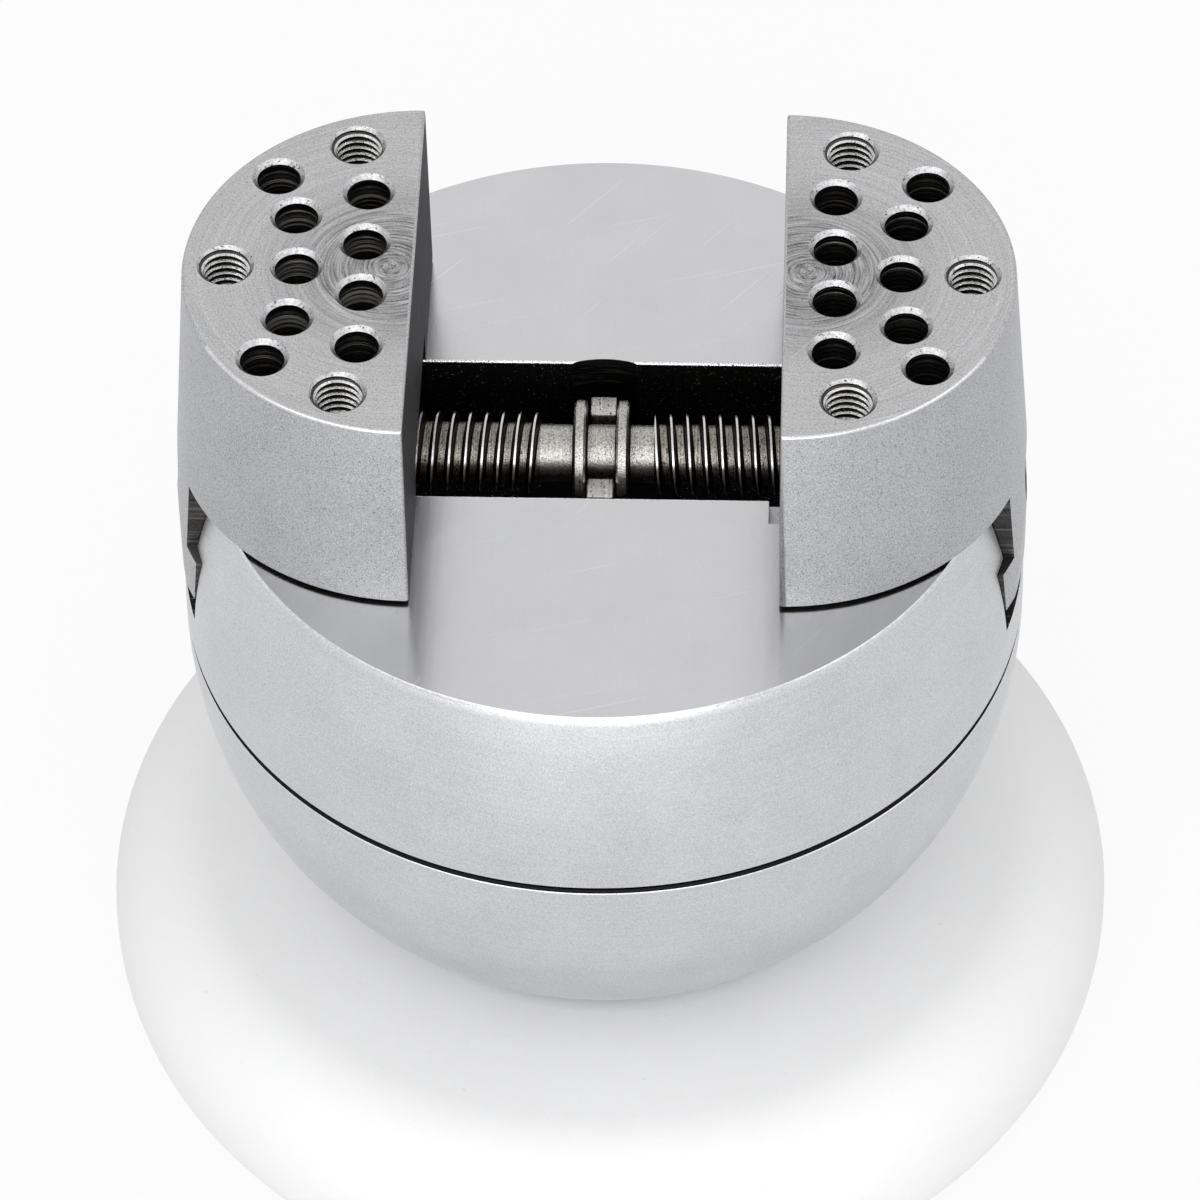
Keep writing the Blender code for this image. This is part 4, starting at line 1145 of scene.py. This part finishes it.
@dataclass
class Jaw:
    """One half-round jaw: drilled top, tapered side and T-shaped tongue."""

    side: int
    top_radius: float = 0.0346
    bottom_radius: float = 0.0371
    lift: float = 0.0007
    edge_round: float = 0.0004
    ring_setback: float = 0.0035
    neck_half_width: float = 0.0139
    foot_half_width: float = 0.0176
    foot_thickness: float = 0.0078
    end_radius: float = 0.0650
    nose_half_width: float = 0.0144
    nose_setback: float = 0.0062
    nose_height: float = 0.0050
    bore_radius: float = 0.0064
    pin_radius: float = 0.0033
    pin_mouth: float = 0.0040
    pin_depth: float = 0.0140
    tap_crest: float = 0.0033
    tap_root: float = 0.0040
    tap_mouth: float = 0.0043
    tap_pitch: float = 0.00125
    tap_depth: float = 0.0180
    pin_ring_step: float = 0.0009
    pin_ring_depth: float = 0.00015
    drill_point_share: float = 0.58
    pin_shares: tuple[Point, ...] = (
        (0.220, 0.157), (0.220, 0.472), (0.506, 0.0), (0.526, 0.316), (0.618, 0.561),
    )
    tap_shares: tuple[Point, ...] = ((0.283, 0.766), (0.812, 0.0))
    section_shares: tuple[Point, ...] = (
        (0.0, 0.0), (0.125, 0.0), (0.28, 0.5), (0.4375, 1.0), (0.6875, 1.0), (0.84, 0.5),
    )
    steps: int = 96
    word: str = field(init=False)

    def __post_init__(self) -> None:
        """Names the jaw by its side."""
        self.word = "left" if self.side < 0 else "right"

    def build(self) -> None:
        """Builds the jaw."""
        low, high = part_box(f"{self.word}_jaw")
        face_x = high.x if self.side < 0 else low.x
        top, foot = high.z, low.z
        foot_top = foot + self.foot_thickness
        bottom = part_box("upper_body")[1].z + self.lift
        height = top - bottom
        taper = (self.bottom_radius - self.top_radius) / height
        foot_radius = self.bottom_radius + taper * (bottom - foot)
        start = -QUARTER if self.side > 0 else QUARTER
        profile = [(0.0, top), (self.top_radius, top), (foot_radius, foot), (0.0, foot)]
        rings_x = face_x + self.side * self.ring_setback
        rings = replace(JAW_TOP, name=f"jaw_top_{self.word}", centre=(rings_x, 0.0))
        finishes = [rings, JAW_SIDE, JAW_INNER, EDGE_HIGHLIGHT]
        jaw = Workpiece(f"{self.word}_jaw_body", finishes)
        jaw.turn(profile, self.steps, sweep=math.pi, start=start).cap().tidy()
        flat = MERGE_DISTANCE
        jaw.round_edges(self.edge_round, 3, lambda edge: self._is_rim(edge, top, flat))
        jaw.paint(lambda face: self._jaw_finish(face, top, flat))
        made = jaw.move(Matrix.Translation((face_x, 0, 0))).done()
        reach = foot_radius + OVERRUN
        tongue = self._tongue(face_x, reach, foot, foot_top, bottom, top)
        nose = self._nose(face_x, foot, foot_top, bottom)
        screw_low, screw_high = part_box("lead_screw")
        bore = Workpiece("jaw_bore", [JAW_TONGUE_SHADE]).turn(
            [(0.0, 0.0), (self.bore_radius, 0.0), (self.bore_radius, reach), (0.0, reach)], 64, Axis.ACROSS
        )
        turn = Matrix.Rotation(0.0 if self.side > 0 else math.pi, 4, "Z")
        lift = Matrix.Translation((face_x, 0, (screw_low.z + screw_high.z) / 2))
        bore.move(lift @ turn)
        holes = self._hole_cutters(face_x, top)
        end = Workpiece("tongue_end", [JAW_SIDE])
        end.prism(self.end_radius, foot - OVERRUN, top + OVERRUN, 2 * self.steps)
        trims = [("INTERSECT", [tongue]), ("INTERSECT", [end.done()])]
        cuts = [("DIFFERENCE", [nose]), ("DIFFERENCE", [bore.done()]), ("DIFFERENCE", holes)]
        carve(made, trims + cuts)
        hand_over(made, self.word, [f"{self.word}_jaw"])

    def _is_rim(self, edge: bmesh.types.BMEdge, top: float, flat: float) -> bool:
        """Says whether an edge is one of the jaw's outer edges: round the top, or down the inner face."""
        first, second = (vert.co for vert in edge.verts)
        on_top = first.z > top - flat and second.z > top - flat
        on_face = abs(first.x) < flat and abs(second.x) < flat
        return edge.calc_face_angle(0.0) > math.radians(40) and (on_top or on_face)

    def _jaw_finish(self, face: bmesh.types.BMFace, top: float, flat: float) -> int:
        """Picks a finish: top, side, inner face, or the front part of the rounded top edge, painted as a
        highlight.
        """
        middle = face.calc_center_median()
        if middle.z > top - flat:
            return 0
        if abs(face.normal.x) > 0.999 and abs(middle.x) < flat:
            return 2
        # Only the front part of the rounded top edge gets the painted highlight; the rest keeps the side's
        # finish.
        in_front = middle.y < -0.5 * self.top_radius and middle.z > top - self.edge_round
        return 3 if in_front else 1

    def _tongue(self, face_x: float, reach: float, foot: float, foot_top: float, bottom: float,
                top: float) -> bpy.types.Object:
        """Makes the outline that trims the jaw: wide above the table, a T below it.

        Args:
            face_x: where the inner face is.
            reach: how far the outline reaches out and across.
            foot: the height of the tongue's underside.
            foot_top: the height of the tongue's wings.
            bottom: the height of the jaw's underside.
            top: the height of the jaw's top.

        Returns:
            The outline, extruded.
        """
        neck, wing = self.neck_half_width, self.foot_half_width
        half = [(wing, foot - OVERRUN), (wing, foot_top), (neck, foot_top), (neck, bottom), (reach, bottom)]
        half += [(reach, top + OVERRUN)]
        outline = half + [(-across, up) for across, up in reversed(half)]
        near, far = sorted((-self.side * OVERRUN, self.side * reach))
        tongue = Workpiece("tongue", [JAW_TONGUE_SHADE]).extrude(outline, near, far)
        return tongue.move(Matrix.Translation((face_x, 0, 0))).done()

    def _nose(self, face_x: float, foot: float, foot_top: float, bottom: float) -> bpy.types.Object:
        """Makes the cutter that sets the tongue back from the inner face and clears the screw's collars."""
        wide = self.foot_half_width + OVERRUN
        step = (foot_top + bottom) / 2
        half = [(wide, foot - 2 * OVERRUN), (wide, step), (self.nose_half_width, step)]
        half += [(self.nose_half_width, bottom + self.nose_height)]
        outline = half + [(-across, up) for across, up in reversed(half)]
        near, far = sorted((-self.side * 2 * OVERRUN, self.side * self.nose_setback))
        nose = Workpiece("nose", [JAW_TONGUE_SHADE]).extrude(outline, near, far)
        return nose.move(Matrix.Translation((face_x, 0, 0))).done()

    def _places(self, shares: Sequence[Point]) -> list[Point]:
        """Works out where holes stand, out from the inner face and along it.

        Args:
            shares: their places as shares of the top's radius.

        Returns:
            The places, mirrored about the jaw's middle.
        """
        places = []
        for out, along in shares:
            for end in (-1, 1) if along else (1,):
                places.append((self.side * out * self.top_radius, end * along * self.top_radius))
        return places

    def _hole_cutters(self, face_x: float, top: float) -> list[bpy.types.Object]:
        """Makes the cutters of the pin holes and of the tapped holes.

        Args:
            face_x: where the inner face is.
            top: the height of the jaw's top.

        Returns:
            The cutters.
        """
        cutters = []
        for out, along in self._places(self.pin_shares):
            pin = Workpiece("pin_hole", [HOLE_WALL_SHADE, HOLE_MOUTH]).turn(self._pin_profile(), 40)
            pin.paint(lambda face: int(face.calc_center_median().z > self.pin_radius - self.pin_mouth))
            cutters.append(pin.move(Matrix.Translation((face_x + out, along, top))).done())
        for out, along in self._places(self.tap_shares):
            place = Matrix.Translation((face_x + out, along, top))
            tap = Workpiece("tapped_hole", [THREAD_CREST, TAP_THREAD_SHADE]).thread(
                self.tap_root, self.tap_crest, self.tap_pitch, 1, -self.tap_depth, OVERRUN / 2, 40, Axis.UP,
                self.section_shares,
            )
            tap.paint(self._tap_finish)
            cutters.append(tap.move(place).done())
            lift = OVERRUN / 2
            end = self.tap_crest - self.tap_mouth
            cone = [(0.0, lift), (self.tap_mouth + lift, lift), (self.tap_crest, end), (0.0, end)]
            mouth = Workpiece("tap_mouth", [HOLE_MOUTH]).turn(cone, 40)
            cutters.append(mouth.move(place).done())
        return cutters

    def _tap_finish(self, face: bmesh.types.BMFace) -> int:
        """Picks a tapped hole's finish: the bright inner half of each rib's upper flank, or painted near-black
        shade on the rest.
        """
        radius = math.hypot(*face.calc_center_median().xy)
        return 0 if face.normal.z < -0.3 and radius < (self.tap_crest + self.tap_root) / 2 else 1

    def _pin_profile(self) -> list[Point]:
        """Draws a pin hole in section: a countersunk mouth, and a wall with the reamer's fine rings.

        Returns:
            The points, from the mouth down.
        """
        lift = OVERRUN / 2
        ring_step, ring_depth = self.pin_ring_step, self.pin_ring_depth
        points = [(0.0, lift), (self.pin_mouth + lift, lift)]
        points += [(self.pin_radius, self.pin_radius - self.pin_mouth)]
        down = self.pin_radius - self.pin_mouth - ring_step
        while down > -self.pin_depth + ring_step:
            points += [(self.pin_radius, down), (self.pin_radius + ring_depth, down - ring_step / 2)]
            down -= ring_step
        point = self.pin_radius * self.drill_point_share
        return points + [(self.pin_radius, -self.pin_depth), (0.0, -self.pin_depth - point)]


@dataclass
class InnerPieces:
    """The bearing, bush, screws, springs and nut, which keep their solids and get their finishes."""

    finishes: dict[str, Steel] = field(
        default_factory=lambda: {
            "bearing_race": RACE_STEEL,
            "bearing_ball": RACE_STEEL,
            "bearing_cage": BRONZE_METAL,
            "spindle_bush": BRONZE_METAL,
            "thrust_washer": BRONZE_METAL,
            "flange_screw": DARK_STEEL,
            "disc_spring": DARK_STEEL,
            "lock_nut": SCREW_BODY,
        }
    )

    def dress(self) -> None:
        """Puts a finish on each solid whose name starts with one of the keys."""
        for name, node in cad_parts.items():
            for start, finish in self.finishes.items():
                if name.startswith(start):
                    node.data.materials.clear()
                    node.data.materials.append(finish.material())
                    LOG.info("%s: dressed as %s", name, finish.name)


@dataclass
class Studio:
    """The pale floor, the soft light and the camera."""

    ball_centre: float = 0.090218
    camera_place: tuple[float, float, float] = (0.0348, -0.7569, 0.7986)
    pitch: float = math.radians(46.65)
    yaw: float = math.radians(-2.69)
    roll: float = math.radians(-1.12)
    lens: float = 212.1
    floor_size: float = 6.0

    def build(self) -> None:
        """Sets up the floor, the world, the lamps and the camera."""
        self._floor()
        self._world()
        self._lamp("key", (-0.9, -0.7, 1.5), (1.2, 1.2), 5.0)
        self._lamp("fill", (1.1, -0.3, 1.2), (1.2, 1.2), 3.0)
        self._lamp("low", (0.0, -1.7, 0.45), (1.2, 1.2), 6.0)
        self._lamp("front", (0.05, -1.25, 1.40), (1.6, 0.5), 4.0)
        self._lamp("glint", (0.0, -1.55, 0.72), (1.6, 0.35), 4.0)
        self._camera()

    def _floor(self) -> None:
        """Lays the floor, which shows white and keeps the object's shadow."""
        shape = bmesh.new()
        bmesh.ops.create_grid(shape, x_segments=1, y_segments=1, size=self.floor_size / 2)
        mesh = bpy.data.meshes.new("floor")
        shape.to_mesh(mesh)
        shape.free()
        floor = bpy.data.objects.new("floor", mesh)
        bpy.context.scene.collection.objects.link(floor)
        material = bpy.data.materials.new("floor_white")
        graph = Graph(material)
        rays = graph.node("ShaderNodeLightPath")
        seen = rays[0].math("MAXIMUM", rays[3]).math("MAXIMUM", rays[6]) * 0.88
        matt = graph.node("ShaderNodeBsdfDiffuse", None, {"Color": (0.86, 0.86, 0.86, 1.0)})[0]
        glow = graph.node("ShaderNodeEmission", None, {"Color": (1.0, 1.0, 1.0, 1.0), "Strength": 1.0})[0]
        mixed = graph.node("ShaderNodeMixShader", None, {0: seen, 1: matt, 2: glow})[0]
        graph.node("ShaderNodeOutputMaterial", None, {0: mixed})
        mesh.materials.append(material)

    def _world(self) -> None:
        """Lights the scene evenly, and shows white behind it."""
        world = bpy.data.worlds.new("studio")
        bpy.context.scene.world = world
        graph = Graph(world)
        rays = graph.node("ShaderNodeLightPath")
        seen = rays[0].math("MAXIMUM", rays[3]).math("MAXIMUM", rays[6])
        strength = seen * 0.36 + 0.64
        inputs = {"Color": (1.0, 1.0, 1.0, 1.0), "Strength": strength}
        light = graph.node("ShaderNodeBackground", None, inputs)[0]
        graph.node("ShaderNodeOutputWorld", None, {0: light})

    def _lamp(self, name: str, place: tuple[float, float, float], size: Point, power: float) -> None:
        """Hangs a soft rectangular lamp that faces the object.

        Args:
            name: its name.
            place: where it hangs.
            size: its width and height.
            power: its power in watts.
        """
        lamp = bpy.data.lights.new(name, "AREA")
        lamp.shape = "RECTANGLE"
        lamp.size, lamp.size_y = size
        lamp.energy = power
        made = bpy.data.objects.new(name, lamp)
        towards = Vector((0, 0, self.ball_centre)) - Vector(place)
        made.matrix_world = Matrix.Translation(place) @ towards.to_track_quat("-Z", "Y").to_matrix().to_4x4()
        bpy.context.scene.collection.objects.link(made)

    def _camera(self) -> None:
        """Puts the camera where the photograph was taken from."""
        level = math.cos(self.pitch)
        ahead = Vector((math.sin(self.yaw) * level, math.cos(self.yaw) * level, -math.sin(self.pitch)))
        right = Vector((math.cos(self.yaw), -math.sin(self.yaw), 0.0))
        above = right.cross(ahead)
        tilted_right = math.cos(self.roll) * right + math.sin(self.roll) * above
        tilted_up = math.cos(self.roll) * above - math.sin(self.roll) * right
        turned = Matrix((tilted_right, tilted_up, -ahead)).transposed().to_4x4()
        lens = bpy.data.cameras.new("camera")
        lens.sensor_width = 36.0
        lens.lens = self.lens
        camera = bpy.data.objects.new("camera", lens)
        place = Vector(self.camera_place) + Vector((0, 0, self.ball_centre))
        camera.matrix_world = Matrix.Translation(place) @ turned
        bpy.context.scene.collection.objects.link(camera)
        bpy.context.scene.camera = camera


def main() -> None:
    """Builds every sub-assembly in order."""
    logging.basicConfig(level=logging.INFO, format="%(name)s: %(message)s")
    bpy.context.scene.view_settings.view_transform = "Standard"
    RingPad().build()
    Ball().build()
    Turntable().build()
    Spindle().build()
    LeadScrew().build()
    for side in (-1, 1):
        Jaw(side).build()
    InnerPieces().dress()
    Studio().build()


if __name__ == "__main__":
    main()
